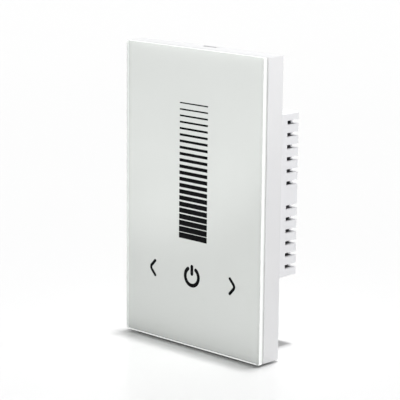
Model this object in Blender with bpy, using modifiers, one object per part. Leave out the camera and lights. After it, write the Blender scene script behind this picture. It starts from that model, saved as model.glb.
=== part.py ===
"""Touch dimmer switch: a glass front on a white frame, with a vented box behind it.

Sizes are in metres. The glass faces -Y, +Z is up, and the panel's lower edge is at z = 0.
"""
import math

import bmesh
import bpy
from mathutils import Matrix, Vector

# Overall sizes
PANEL_WIDTH = 0.074
PANEL_HEIGHT = 0.120
TOTAL_DEPTH = 0.036

# Clearances
SEAT_GAP = 0.0003
JOIN = 0.0002
CUT_PAST = 0.001

# Round shapes
WINDOW_SIDES = 20
HOLE_SIDES = 16
SMALL_HOLE_SIDES = 8
TURNED_STEPS = 14
SCREW_STEPS = 12
CORNER_STEPS = 2
SMOOTH_ANGLE = math.radians(40)

# Glass
GLASS_THICKNESS = 0.003
GLASS_CORNER_RADIUS = 0.0005
GLASS_CHAMFER = 0.0004

# Front frame
FRAME_DEPTH = 0.009
FRAME_WALL = 0.002
FRAME_WEB = 0.0015
FRAME_CORNER_RADIUS = 0.0006
FRAME_CHAMFER = 0.0003
FRAME_REAR_CHAMFER = 0.0006
PRY_NOTCH_WIDTH = 0.0072
PRY_NOTCH_DEPTH = 0.003
WEB_RIB_THICKNESS = 0.0012
WEB_RIB_PLACE = 0.0085
LOCATING_RIB_THICKNESS = 0.0016
LOCATING_RIB_REACH = 0.003
LOCATING_RIB_INSET = 0.009

# Touch keys and the level bar, from the panel's sides and its middle
KEY_SIDE_INSET = 0.0151
KEY_DROP = 0.0312
BAR_RISE = 0.01125
BAR_LENGTH = 0.0546
SLIDER_SPRINGS = 5

# Touch board and its screws
TOUCH_BOARD_THICKNESS = 0.0012
TOUCH_BOARD_SIDE_MARGIN = 0.007
TOUCH_BOARD_END_MARGIN = 0.006
COMPONENT_SPACE = 0.0026
BOARD_SCREW_INSET = 0.0032
BOSS_RADIUS = 0.0026

# Touch springs
KEY_SPRING_RADIUS = 0.0036
SLIDER_SPRING_RADIUS = 0.0030
SPRING_WIRE = 0.0005
SPRING_PITCH = 0.0011
SPRING_STEPS = 8
SPRING_WINDOW_MARGIN = 0.0012

# Lamp behind the power key
LAMP_RADIUS = 0.0015
LAMP_FLANGE = 0.0004
LAMP_FLANGE_HEIGHT = 0.0006
LAMP_HEIGHT = 0.0031

# Screws
SCREW_HEAD_RADIUS = 0.0021
SCREW_HEAD_HEIGHT = 0.0013
SCREW_SHANK_RADIUS = 0.0010
SCREW_RECESS_WIDTH = 0.0006
SCREW_RECESS_LENGTH = 0.0024
SCREW_RECESS_DEPTH = 0.0008
SCREW_POINT = 0.0006
TOUCH_SCREW_LENGTH = 0.0040
POWER_SCREW_LENGTH = 0.0055
HOUSING_SCREW_LENGTH = 0.0080

# Mounting plate
PLATE_THICKNESS = 0.0012
PLATE_EDGE_MARGIN = 0.002
PLATE_CORNER_RADIUS = 0.003
MOUNTING_SPACING = 0.0833
MOUNTING_SLOT_WIDTH = 0.0039
MOUNTING_SLOT_LENGTH = 0.0075
PLATE_WINDOW_MARGIN = 0.0020

# Panel clips
CLIP_SCREW_SPACE = 0.0012
CLIP_WIDTH = 0.006
CLIP_SHEET = 0.0004
CLIP_FOOT = 0.005
CLIP_FOOT_INSET = 0.0014
CLIP_BULGE = 0.0011
CLIP_CATCH_OVERLAP = 0.0005
CATCH_REACH = 0.0012
CATCH_THICKNESS = 0.0012
CATCH_SETBACK = 0.0009

# Rear box
BOX_WIDTH = 0.0485
BOX_HEIGHT = 0.0666
BOX_RAISE = 0.0013
BOX_WALL = 0.0015
BOX_CORNER_CHAMFER = 0.0006
COLUMN_SIZE = 0.0056
COLUMN_LENGTH = 0.009
POST_RADIUS = 0.0026
POST_SIDE_INSET = 0.0050
POST_END_INSET = 0.0078

# Vent slots, on both sides, from the box's middle
SLOT_PITCH = 0.00487
SLOTS_EACH_WAY = 6
SLOT_HEIGHT = 0.0016
SLOT_SIDE_LENGTH = 0.0066
SLOT_REAR_LENGTH = 0.0030

# Power board
POWER_BOARD_THICKNESS = 0.0016
ROW_SPACE = 0.0018

# Terminal block, with rising cages
POLES = 4
POLE_PITCH = 0.0075
BLOCK_END_WALL = 0.0008
BLOCK_LENGTH = 0.011
BLOCK_RECESS = 0.0005
BLOCK_SKIN = 0.0014
WELL_RADIUS = 0.0026
WELL_DEPTH = 0.0030
WELL_SHOULDER = 0.0009
CAVITY_WIDTH = 0.0059
CAGE_WALL = 0.0009
CAGE_HEIGHT = 0.0056
CAGE_LENGTH = 0.0055
CAGE_TRAVEL = 0.002
CAGE_FLOOR_SPACE = 0.0012
ENTRY_RADIUS = 0.0018
TERMINAL_HEAD_RADIUS = 0.0022
TERMINAL_HEAD_HEIGHT = 0.0018
TERMINAL_SHANK_RADIUS = 0.0014
TERMINAL_SLOT_WIDTH = 0.0007
TERMINAL_SLOT_DEPTH = 0.0009
CONTACT_WIDTH = 0.0026
CONTACT_THICKNESS = 0.0009
CONTACT_PIN_WIDTH = 0.0010
CONTACT_PIN_REACH = 0.0012

# Link between the two boards
LINK_PINS = 6
LINK_PITCH = 0.00254
LINK_BODY = 0.0025
LINK_PIN_WIDTH = 0.00064
LINK_PIN_TAIL = 0.0010
LINK_SOCKET_FLOOR = 0.003
LINK_ROW = 0.0026

# Parts on the power board
CAPACITOR_RADIUS = 0.0040
CAPACITOR_HEIGHT = 0.0108
CAPACITOR_GROOVE = 0.0004
CAPACITOR_SPACING = 0.0095
CHOKE_RADIUS = 0.0048
CHOKE_HEIGHT = 0.0085
CHOKE_FLANGE = 0.0012
CHOKE_WAIST_RADIUS = 0.0024
CHOKE_COIL_INSET = 0.0005
CHOKE_COIL_TURNS = 3
HEAT_SINK_BASE = 0.0018
HEAT_SINK_HEIGHT = 0.0100
HEAT_SINK_FIN = 0.0010
HEAT_SINK_FINS = 8
TRANSISTOR_WIDTH = 0.0065
TRANSISTOR_HEIGHT = 0.0061
TRANSISTOR_THICKNESS = 0.0023
TRANSISTOR_SPACING = 0.0150
TRANSISTOR_TAB = 0.0010
TRANSISTOR_LEG = 0.0024
TRANSISTOR_LEG_WIDTH = 0.0008
TRANSISTOR_LEG_SPACING = 0.0046

# Touch chip
CHIP_WIDTH = 0.0100
CHIP_HEIGHT = 0.0040
CHIP_THICKNESS = 0.0014
CHIP_LEGS = 8
CHIP_LEG_PITCH = 0.00120
CHIP_LEG_WIDTH = 0.00045
CHIP_LEG_REACH = 0.0010
CHIP_DROP = 0.012

# Places along Y, worked out from the front
FRONT_Y = -TOTAL_DEPTH / 2
GLASS_BACK_Y = FRONT_Y + GLASS_THICKNESS
FRAME_FRONT_Y = GLASS_BACK_Y + SEAT_GAP
FRAME_BACK_Y = FRAME_FRONT_Y + FRAME_DEPTH
PLATE_BACK_Y = FRAME_BACK_Y
PLATE_FRONT_Y = PLATE_BACK_Y - PLATE_THICKNESS
TOUCH_BOARD_BACK_Y = PLATE_FRONT_Y - COMPONENT_SPACE
TOUCH_BOARD_FRONT_Y = TOUCH_BOARD_BACK_Y - TOUCH_BOARD_THICKNESS
BOX_FRONT_Y = PLATE_BACK_Y + SEAT_GAP

# Places along Y, worked out from the rear
BOX_BACK_Y = TOTAL_DEPTH / 2
BLOCK_BACK_Y = BOX_BACK_Y - BLOCK_RECESS
WELL_FLOOR_Y = BLOCK_BACK_Y - WELL_DEPTH
CAVITY_BACK_Y = WELL_FLOOR_Y - WELL_SHOULDER
CAGE_BACK_Y = CAVITY_BACK_Y - SEAT_GAP - CAGE_TRAVEL
CAGE_FRONT_Y = CAGE_BACK_Y - CAGE_HEIGHT
BLOCK_FRONT_Y = CAGE_FRONT_Y - CAGE_FLOOR_SPACE
POWER_BOARD_BACK_Y = BLOCK_FRONT_Y - SEAT_GAP
POWER_BOARD_FRONT_Y = POWER_BOARD_BACK_Y - POWER_BOARD_THICKNESS
CONTACT_BACK_Y = CAGE_BACK_Y - CAGE_WALL - SEAT_GAP
CONTACT_FRONT_Y = CONTACT_BACK_Y - CONTACT_THICKNESS
LINK_HEADER_FRONT_Y = POWER_BOARD_FRONT_Y - SEAT_GAP - LINK_BODY
LINK_SOCKET_BACK_Y = LINK_HEADER_FRONT_Y - SEAT_GAP
LINK_SOCKET_FRONT_Y = TOUCH_BOARD_BACK_Y + SEAT_GAP

# Heights
PANEL_MIDDLE_Z = PANEL_HEIGHT / 2
BOX_MIDDLE_Z = PANEL_MIDDLE_Z + BOX_RAISE
BLOCK_BOTTOM_Z = BOX_MIDDLE_Z - BOX_HEIGHT / 2 + BLOCK_RECESS
BLOCK_TOP_Z = BLOCK_BOTTOM_Z + BLOCK_LENGTH
CAGE_MIDDLE_Z = BLOCK_BOTTOM_Z + BLOCK_SKIN + SEAT_GAP + CAGE_LENGTH / 2
CONTACT_PIN_Z = (CAGE_MIDDLE_Z + CAGE_LENGTH / 2 + BLOCK_TOP_Z - BLOCK_SKIN) / 2
CAPACITOR_Z = BLOCK_TOP_Z + ROW_SPACE + CAPACITOR_RADIUS
CHOKE_Z = BOX_MIDDLE_Z + BOX_HEIGHT / 2 - BOX_WALL - ROW_SPACE - CHOKE_RADIUS
LINK_Z = CHOKE_Z - CHOKE_RADIUS - LINK_ROW / 2
HEAT_SINK_TOP_Z = LINK_Z - LINK_ROW / 2
HEAT_SINK_BOTTOM_Z = CAPACITOR_Z + CAPACITOR_RADIUS + ROW_SPACE

# Places and sizes across the panel and up it
FRAME_INNER_WIDTH = PANEL_WIDTH - 2 * FRAME_WALL
FRAME_INNER_HEIGHT = PANEL_HEIGHT - 2 * FRAME_WALL
PLATE_WIDTH = FRAME_INNER_WIDTH - 2 * PLATE_EDGE_MARGIN
PLATE_HEIGHT = FRAME_INNER_HEIGHT - 2 * PLATE_EDGE_MARGIN
TOUCH_BOARD_WIDTH = FRAME_INNER_WIDTH - 2 * TOUCH_BOARD_SIDE_MARGIN
TOUCH_BOARD_HEIGHT = FRAME_INNER_HEIGHT - 2 * TOUCH_BOARD_END_MARGIN
BOX_INNER_WIDTH = BOX_WIDTH - 2 * BOX_WALL
BOX_INNER_HEIGHT = BOX_HEIGHT - 2 * BOX_WALL
COLUMN_X = BOX_INNER_WIDTH / 2 - COLUMN_SIZE / 2
COLUMN_Z = BOX_INNER_HEIGHT / 2 - COLUMN_SIZE / 2
CLIP_Z = COLUMN_Z - SCREW_HEAD_RADIUS - CLIP_SCREW_SPACE - CLIP_WIDTH / 2
KEY_X = PANEL_WIDTH / 2 - KEY_SIDE_INSET
POST_X = BOX_INNER_WIDTH / 2 - POST_SIDE_INSET
UPPER_POST_Z = BOX_INNER_HEIGHT / 2 - POST_END_INSET
LOWER_POST_Z = BLOCK_TOP_Z - BOX_MIDDLE_Z + ROW_SPACE + POST_RADIUS
BLOCK_WIDTH = POLES * POLE_PITCH + 2 * BLOCK_END_WALL
SCREW_HOLE_RADIUS = SCREW_SHANK_RADIUS + SEAT_GAP

FINISHES = {
    "glass": ((0.74, 0.77, 0.74), 0.08, 0.0),
    "white_plastic": ((0.88, 0.88, 0.87), 0.35, 0.0),
    "box_plastic": ((0.86, 0.86, 0.89), 0.45, 0.0),
    "board": ((0.03, 0.22, 0.10), 0.4, 0.0),
    "spring_steel": ((0.62, 0.62, 0.60), 0.3, 1.0),
    "plated_steel": ((0.66, 0.67, 0.69), 0.35, 1.0),
    "lamp": ((0.85, 0.88, 0.92), 0.15, 0.0),
    "black_plastic": ((0.02, 0.02, 0.022), 0.45, 0.0),
    "black_metal": ((0.025, 0.025, 0.028), 0.4, 0.8),
    "tinned_brass": ((0.74, 0.70, 0.58), 0.3, 1.0),
    "aluminium": ((0.70, 0.71, 0.73), 0.3, 1.0),
    "ferrite": ((0.05, 0.05, 0.055), 0.6, 0.0),
    "copper": ((0.72, 0.32, 0.16), 0.3, 1.0),
}

FACE_FORWARD = (math.pi / 2, 0.0, 0.0)
FACE_BACK = (-math.pi / 2, 0.0, 0.0)


def clear_scene():
    """Remove the objects that the file starts with."""
    for old in list(bpy.data.objects):
        bpy.data.objects.remove(old, do_unlink=True)


def new_collection(name):
    """Add an empty collection to the scene."""
    collection = bpy.data.collections.new(name)
    bpy.context.scene.collection.children.link(collection)
    return collection


def get_material(finish):
    """Return the material of a finish, and make it the first time."""
    if finish in bpy.data.materials:
        return bpy.data.materials[finish]
    colour, roughness, metallic = FINISHES[finish]
    material = bpy.data.materials.new(finish)
    material.use_nodes = True
    shader = material.node_tree.nodes["Principled BSDF"]
    shader.inputs["Base Color"].default_value = (*colour, 1.0)
    shader.inputs["Roughness"].default_value = roughness
    shader.inputs["Metallic"].default_value = metallic
    material.diffuse_color = (*colour, 1.0)
    return material


def add_block(shape, low, high):
    """Add a box between two opposite corners."""
    low = Vector(low)
    size = Vector(high) - low
    place = Matrix.Translation(low + size / 2) @ Matrix.Diagonal((*size, 1.0))
    bmesh.ops.create_cube(shape, size=1.0, matrix=place)


def add_bar(shape, radius, front, back, x, z, sides=HOLE_SIDES):
    """Add a round bar that runs along Y."""
    turn = Matrix.Rotation(math.pi / 2, 4, "X")
    place = Matrix.Translation((x, (front + back) / 2, z)) @ turn
    bmesh.ops.create_cone(shape, cap_ends=True, segments=sides, radius1=radius,
                          radius2=radius, depth=back - front, matrix=place)


def new_slab(width, height, front, back, corner_radius=0.0, front_chamfer=0.0,
             back_chamfer=0.0, corner_steps=CORNER_STEPS):
    """Return an upright plate with rounded corners, chamfered round its front and its back."""
    shape = bmesh.new()
    add_block(shape, (-width / 2, front, -height / 2), (width / 2, back, height / 2))
    if corner_radius > 0:
        corners = [edge for edge in shape.edges
                   if abs(edge.verts[0].co.y - edge.verts[1].co.y) > (back - front) / 2]
        bmesh.ops.bevel(shape, geom=corners, offset=corner_radius, segments=corner_steps,
                        profile=0.5, affect="EDGES", clamp_overlap=True)
    for face_y, chamfer in ((front, front_chamfer), (back, back_chamfer)):
        if chamfer > 0:
            rim = [edge for edge in shape.edges
                   if all(abs(vert.co.y - face_y) < SEAT_GAP / 10 for vert in edge.verts)]
            bmesh.ops.bevel(shape, geom=rim, offset=chamfer, segments=1,
                            profile=0.5, affect="EDGES", clamp_overlap=True)
    return shape


def mesh_from(shape, name):
    """Turn a bmesh into a mesh that is smooth apart from its sharp edges."""
    bmesh.ops.recalc_face_normals(shape, faces=shape.faces)
    mesh = bpy.data.meshes.new(name)
    shape.to_mesh(mesh)
    shape.free()
    mesh.shade_smooth()
    mesh.set_sharp_from_angle(angle=SMOOTH_ANGLE)
    return mesh


def add_piece(name, mesh, place, finish, carrier=None, turn=(0.0, 0.0, 0.0)):
    """Add a named piece with its own origin at a place in the part's frame."""
    piece = bpy.data.objects.new(name, mesh)
    if not mesh.materials:
        mesh.materials.append(get_material(finish))
    piece.rotation_euler = turn
    piece.location = Vector(place)
    if carrier is not None:
        piece.parent = carrier
        piece.location = Vector(place) - carrier.location
    PARTS.objects.link(piece)
    return piece


def add_tool(piece, name, shape, operation):
    """Cut a shape out of a piece, or join it on. The shape is in the piece's own axes."""
    tool = bpy.data.objects.new(name, mesh_from(shape, name))
    tool.parent = piece
    tool.hide_render = True
    tool.display_type = "WIRE"
    TOOLS.objects.link(tool)
    step = piece.modifiers.new(name, "BOOLEAN")
    step.operation = operation
    step.solver = "EXACT"
    step.object = tool


def cut(piece, name, shape):
    """Cut a shape out of a piece."""
    add_tool(piece, name, shape, "DIFFERENCE")


def join(piece, name, shape):
    """Join a shape to a piece."""
    add_tool(piece, name, shape, "UNION")


def bake(piece):
    """Replace a piece's modifiers by the mesh that they make, and remove their tools."""
    bpy.context.view_layer.update()
    evaluated = piece.evaluated_get(bpy.context.evaluated_depsgraph_get())
    mesh = bpy.data.meshes.new_from_object(evaluated)
    mesh.name = piece.name
    piece.modifiers.clear()
    piece.data = mesh
    for tool in [child for child in piece.children if child.name in TOOLS.objects]:
        bpy.data.objects.remove(tool, do_unlink=True)
    mesh.shade_smooth()
    mesh.set_sharp_from_angle(angle=SMOOTH_ANGLE)
    return mesh


def turned_mesh(name, outline, closed=False, steps=TURNED_STEPS):
    """Turn an outline of (radius, height) points, top to bottom, about Z."""
    mesh = bpy.data.meshes.new(name)
    last = len(outline)
    edges = [(index, index + 1) for index in range(last - 1)]
    if closed:
        edges.append((last - 1, 0))
    mesh.from_pydata([(radius, 0.0, height) for radius, height in outline], edges, [])
    blank = bpy.data.objects.new(name, mesh)
    PARTS.objects.link(blank)
    spin = blank.modifiers.new("turn", "SCREW")
    spin.steps = steps
    spin.render_steps = steps
    spin.use_merge_vertices = True
    spin.merge_threshold = 0.00001
    shape = bmesh.new()
    shape.from_mesh(bake(blank))
    bpy.data.objects.remove(blank, do_unlink=True)
    return mesh_from(shape, name)


def wire_mesh(name, points, radius):
    """Return a solid round wire through a list of points."""
    curve = bpy.data.curves.new(name, "CURVE")
    curve.dimensions = "3D"
    curve.bevel_depth = radius
    curve.bevel_resolution = 1
    curve.use_fill_caps = True
    spline = curve.splines.new("POLY")
    spline.points.add(len(points) - 1)
    for point, place in zip(spline.points, points):
        point.co = (*place, 1.0)
    guide = bpy.data.objects.new(name, curve)
    PARTS.objects.link(guide)
    bpy.context.view_layer.update()
    evaluated = guide.evaluated_get(bpy.context.evaluated_depsgraph_get())
    mesh = bpy.data.meshes.new_from_object(evaluated)
    bpy.data.objects.remove(guide, do_unlink=True)
    shape = bmesh.new()
    shape.from_mesh(mesh)
    bmesh.ops.remove_doubles(shape, verts=shape.verts, dist=radius / 100)
    return mesh_from(shape, name)


def outline_mesh(name, points, thickness):
    """Return a flat outline in X and Y, made thick along Z."""
    curve = bpy.data.curves.new(name, "CURVE")
    curve.dimensions = "2D"
    curve.fill_mode = "BOTH"
    curve.extrude = thickness / 2
    spline = curve.splines.new("POLY")
    spline.points.add(len(points) - 1)
    spline.use_cyclic_u = True
    for point, (x, y) in zip(spline.points, points):
        point.co = (x, y, 0.0, 1.0)
    guide = bpy.data.objects.new(name, curve)
    PARTS.objects.link(guide)
    bpy.context.view_layer.update()
    evaluated = guide.evaluated_get(bpy.context.evaluated_depsgraph_get())
    mesh = bpy.data.meshes.new_from_object(evaluated)
    bpy.data.objects.remove(guide, do_unlink=True)
    shape = bmesh.new()
    shape.from_mesh(mesh)
    bmesh.ops.remove_doubles(shape, verts=shape.verts, dist=SEAT_GAP / 100)
    return mesh_from(shape, name)


def corner_places(x, z):
    """Return the four places at plus and minus x and z."""
    return [(side * x, end * z) for end in (1, -1) for side in (-1, 1)]


def spring_places():
    """Return the name, radius, x and height above the panel's middle of each touch spring."""
    places = [
        ("key_spring_left", KEY_SPRING_RADIUS, -KEY_X, -KEY_DROP),
        ("key_spring_power", KEY_SPRING_RADIUS, 0.0, -KEY_DROP),
        ("key_spring_right", KEY_SPRING_RADIUS, KEY_X, -KEY_DROP),
    ]
    pitch = BAR_LENGTH / SLIDER_SPRINGS
    for index in range(SLIDER_SPRINGS):
        height = BAR_RISE + (index - (SLIDER_SPRINGS - 1) / 2) * pitch
        places.append((f"slider_spring_{index + 1}", SLIDER_SPRING_RADIUS, 0.0, height))
    return places


def touch_screw_places():
    """Return the x and height above the panel's middle of the touch board's screws."""
    return corner_places(TOUCH_BOARD_WIDTH / 2 - BOARD_SCREW_INSET,
                         TOUCH_BOARD_HEIGHT / 2 - BOARD_SCREW_INSET)


def pole_places():
    """Return the x of each pole of the terminal block."""
    return [(index - (POLES - 1) / 2) * POLE_PITCH for index in range(POLES)]


def link_pin_places():
    """Return the x of each pin of the link between the boards."""
    return [(index - (LINK_PINS - 1) / 2) * LINK_PITCH for index in range(LINK_PINS)]


def make_glass(carrier):
    """The pane, with rounded corners and a ground front edge."""
    shape = new_slab(PANEL_WIDTH, PANEL_HEIGHT, 0.0, GLASS_THICKNESS,
                     GLASS_CORNER_RADIUS, GLASS_CHAMFER)
    add_piece("glass_panel", mesh_from(shape, "glass_panel"), (0, FRONT_Y, PANEL_MIDDLE_Z),
              "glass", carrier)


def make_front_frame(carrier):
    """The moulded tray behind the glass, open at the back."""
    shape = new_slab(PANEL_WIDTH, PANEL_HEIGHT, 0.0, FRAME_DEPTH,
                     FRAME_CORNER_RADIUS, FRAME_CHAMFER, FRAME_REAR_CHAMFER)
    frame = add_piece("front_frame", mesh_from(shape, "front_frame"),
                      (0, FRAME_FRONT_Y, PANEL_MIDDLE_Z), "white_plastic", carrier)
    cut(frame, "frame_hollow", new_slab(FRAME_INNER_WIDTH, FRAME_INNER_HEIGHT, FRAME_WEB,
                                        FRAME_DEPTH + CUT_PAST))
    join(frame, "frame_bosses", frame_bosses())
    join(frame, "frame_ribs", frame_ribs())
    join(frame, "frame_catches", frame_catches())
    cut(frame, "frame_openings", frame_openings())


def frame_bosses():
    """Bosses that carry the touch board, on the back of the frame's web."""
    shape = bmesh.new()
    end = TOUCH_BOARD_FRONT_Y - SEAT_GAP - FRAME_FRONT_Y
    for x, z in touch_screw_places():
        add_bar(shape, BOSS_RADIUS, FRAME_WEB - JOIN, end, x, z)
    return shape


def frame_ribs():
    """Web ribs under the touch board, and locating ribs round the mounting plate."""
    shape = bmesh.new()
    board_y = TOUCH_BOARD_FRONT_Y - SEAT_GAP - FRAME_FRONT_Y
    rib_top = BAR_RISE + BAR_LENGTH / 2
    rib_bottom = BAR_RISE - BAR_LENGTH / 2
    for side in (-1, 1):
        x = side * WEB_RIB_PLACE
        add_block(shape, (x - WEB_RIB_THICKNESS / 2, FRAME_WEB - JOIN, rib_bottom),
                  (x + WEB_RIB_THICKNESS / 2, board_y, rib_top))
    start = FRAME_DEPTH - PLATE_THICKNESS - LOCATING_RIB_REACH
    rib = PLATE_EDGE_MARGIN - SEAT_GAP
    half_width = FRAME_INNER_WIDTH / 2
    half_height = FRAME_INNER_HEIGHT / 2
    half_rib = LOCATING_RIB_THICKNESS / 2
    for side, end in ((-1, -1), (-1, 1), (1, -1), (1, 1)):
        z = end * (half_height - LOCATING_RIB_INSET)
        x_pair = sorted((side * (half_width + JOIN), side * (half_width - rib)))
        add_block(shape, (x_pair[0], start, z - half_rib), (x_pair[1], FRAME_DEPTH, z + half_rib))
        x = side * (half_width - LOCATING_RIB_INSET)
        z_pair = sorted((end * (half_height + JOIN), end * (half_height - rib)))
        add_block(shape, (x - half_rib, start, z_pair[0]), (x + half_rib, FRAME_DEPTH, z_pair[1]))
    return shape


def frame_catches():
    """Ridges inside the side walls, behind which the panel clips snap."""
    shape = bmesh.new()
    start = clip_bulge_y() + CATCH_SETBACK - FRAME_FRONT_Y
    wall = FRAME_INNER_WIDTH / 2
    for side, z in clip_places():
        x_pair = sorted((side * (wall + JOIN), side * (wall - CATCH_REACH)))
        add_block(shape, (x_pair[0], start, z - CLIP_WIDTH / 2),
                  (x_pair[1], start + CATCH_THICKNESS, z + CLIP_WIDTH / 2))
    return shape


def frame_openings():
    """Spring windows in the web, screw holes in the bosses, and the pry notch."""
    shape = bmesh.new()
    for _, radius, x, z in spring_places():
        add_bar(shape, radius + SPRING_WINDOW_MARGIN, -CUT_PAST, FRAME_WEB + CUT_PAST / 2, x, z,
                WINDOW_SIDES)
    boss_end = TOUCH_BOARD_FRONT_Y - SEAT_GAP - FRAME_FRONT_Y
    hole_end = TOUCH_BOARD_BACK_Y + SEAT_GAP - TOUCH_SCREW_LENGTH - SEAT_GAP - FRAME_FRONT_Y
    for x, z in touch_screw_places():
        add_bar(shape, SCREW_HOLE_RADIUS, hole_end, boss_end + CUT_PAST, x, z, SMALL_HOLE_SIDES)
    half_height = PANEL_HEIGHT / 2
    add_block(shape, (-PRY_NOTCH_WIDTH / 2, FRAME_DEPTH - PRY_NOTCH_DEPTH,
                      half_height - FRAME_WALL - CUT_PAST / 2),
              (PRY_NOTCH_WIDTH / 2, FRAME_DEPTH + CUT_PAST, half_height + CUT_PAST))
    return shape


def make_touch_board(carrier):
    """The touch circuit board, with its screw holes."""
    shape = new_slab(TOUCH_BOARD_WIDTH, TOUCH_BOARD_HEIGHT, 0.0, TOUCH_BOARD_THICKNESS)
    board = add_piece("touch_board", mesh_from(shape, "touch_board"),
                      (0, TOUCH_BOARD_FRONT_Y, PANEL_MIDDLE_Z), "board", carrier)
    holes = bmesh.new()
    for x, z in touch_screw_places():
        add_bar(holes, SCREW_HOLE_RADIUS, -CUT_PAST, TOUCH_BOARD_THICKNESS + CUT_PAST, x, z,
                SMALL_HOLE_SIDES)
    cut(board, "touch_board_holes", holes)


def spring_points(radius, height):
    """Points along a spring that rises from the board to the glass."""
    rise = height - SPRING_WIRE
    count = max(SPRING_STEPS, round(SPRING_STEPS * rise / SPRING_PITCH))
    points = []
    for index in range(count + 1):
        angle = 2 * math.pi * index / SPRING_STEPS
        points.append((radius * math.cos(angle), radius * math.sin(angle),
                       SPRING_WIRE / 2 + rise * index / count))
    return points


def make_springs(carrier):
    """Touch springs, from the touch board to the back of the glass."""
    height = TOUCH_BOARD_FRONT_Y - GLASS_BACK_Y - 2 * SEAT_GAP
    meshes = {}
    for name, radius, x, z in spring_places():
        if radius not in meshes:
            points = spring_points(radius - SPRING_WIRE / 2, height)
            meshes[radius] = wire_mesh(name, points, SPRING_WIRE / 2)
        add_piece(name, meshes[radius], (x, TOUCH_BOARD_FRONT_Y - SEAT_GAP, PANEL_MIDDLE_Z + z),
                  "spring_steel", carrier, FACE_FORWARD)


def make_lamp(carrier):
    """The lamp inside the power key's spring."""
    outline = [(0.0, LAMP_HEIGHT)]
    dome_start = LAMP_HEIGHT - LAMP_RADIUS
    for step in (1, 2, 3):
        angle = step * math.pi / 6
        outline.append((LAMP_RADIUS * math.sin(angle), dome_start + LAMP_RADIUS * math.cos(angle)))
    outline.append((LAMP_RADIUS, LAMP_FLANGE_HEIGHT))
    outline.append((LAMP_RADIUS + LAMP_FLANGE, LAMP_FLANGE_HEIGHT))
    outline.append((LAMP_RADIUS + LAMP_FLANGE, 0.0))
    outline.append((0.0, 0.0))
    add_piece("power_led", turned_mesh("power_led", outline),
              (0, TOUCH_BOARD_FRONT_Y - SEAT_GAP, PANEL_MIDDLE_Z - KEY_DROP), "lamp", carrier,
              FACE_FORWARD)


def make_touch_controller(carrier):
    """The touch chip on the back of the touch board, with its legs."""
    shape = bmesh.new()
    add_block(shape, (-CHIP_WIDTH / 2, 0.0, -CHIP_HEIGHT / 2),
              (CHIP_WIDTH / 2, CHIP_THICKNESS, CHIP_HEIGHT / 2))
    chip = add_piece("touch_controller", mesh_from(shape, "touch_controller"),
                     (0, TOUCH_BOARD_BACK_Y + SEAT_GAP, BOX_MIDDLE_Z - CHIP_DROP),
                     "black_plastic", carrier)
    legs = bmesh.new()
    for index in range(CHIP_LEGS):
        x = (index - (CHIP_LEGS - 1) / 2) * CHIP_LEG_PITCH
        for end in (-1, 1):
            z_pair = sorted((end * (CHIP_HEIGHT / 2 - JOIN), end * (CHIP_HEIGHT / 2 + CHIP_LEG_REACH)))
            add_block(legs, (x - CHIP_LEG_WIDTH / 2, 0.0, z_pair[0]),
                      (x + CHIP_LEG_WIDTH / 2, CHIP_THICKNESS / 2, z_pair[1]))
    join(chip, "chip_legs", legs)


def make_link_socket(carrier):
    """The socket on the touch board that takes the link's pins."""
    width = LINK_PINS * LINK_PITCH
    shape = bmesh.new()
    depth = LINK_SOCKET_BACK_Y - LINK_SOCKET_FRONT_Y
    add_block(shape, (-width / 2, 0.0, -LINK_BODY / 2), (width / 2, depth, LINK_BODY / 2))
    socket = add_piece("link_socket", mesh_from(shape, "link_socket"),
                       (0, LINK_SOCKET_FRONT_Y, LINK_Z), "black_plastic", carrier)
    holes = bmesh.new()
    half = LINK_PIN_WIDTH / 2 + SEAT_GAP
    for x in link_pin_places():
        add_block(holes, (x - half, LINK_SOCKET_FLOOR - SEAT_GAP, -half),
                  (x + half, depth + CUT_PAST, half))
    cut(socket, "link_socket_holes", holes)


def screw_mesh(name, length):
    """A pan-head screw along Z, its head's underside at z = 0, with a cross recess."""
    outline = [
        (0.0, SCREW_HEAD_HEIGHT),
        (0.75 * SCREW_HEAD_RADIUS, 0.9 * SCREW_HEAD_HEIGHT),
        (SCREW_HEAD_RADIUS, 0.4 * SCREW_HEAD_HEIGHT),
        (SCREW_HEAD_RADIUS, 0.0),
        (SCREW_SHANK_RADIUS, 0.0),
        (SCREW_SHANK_RADIUS, SCREW_POINT - length),
        (0.5 * SCREW_SHANK_RADIUS, -length),
        (0.0, -length),
    ]
    blank = bpy.data.objects.new(name, turned_mesh(name, outline, steps=SCREW_STEPS))
    PARTS.objects.link(blank)
    half_length = SCREW_RECESS_LENGTH / 2
    half_width = SCREW_RECESS_WIDTH / 2
    floor = SCREW_HEAD_HEIGHT - SCREW_RECESS_DEPTH
    for index, (x, y) in enumerate(((half_length, half_width), (half_width, half_length))):
        recess = bmesh.new()
        add_block(recess, (-x, -y, floor), (x, y, SCREW_HEAD_HEIGHT + CUT_PAST))
        cut(blank, f"{name}_recess_{index + 1}", recess)
    mesh = bake(blank)
    bpy.data.objects.remove(blank, do_unlink=True)
    return mesh


def make_touch_screws(carrier):
    """Screws that hold the touch board to the frame's bosses."""
    mesh = screw_mesh("touch_screw", TOUCH_SCREW_LENGTH)
    for index, (x, z) in enumerate(touch_screw_places()):
        add_piece(f"touch_board_screw_{index + 1}", mesh,
                  (x, TOUCH_BOARD_BACK_Y + SEAT_GAP, PANEL_MIDDLE_Z + z), "plated_steel",
                  carrier, FACE_BACK)


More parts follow.
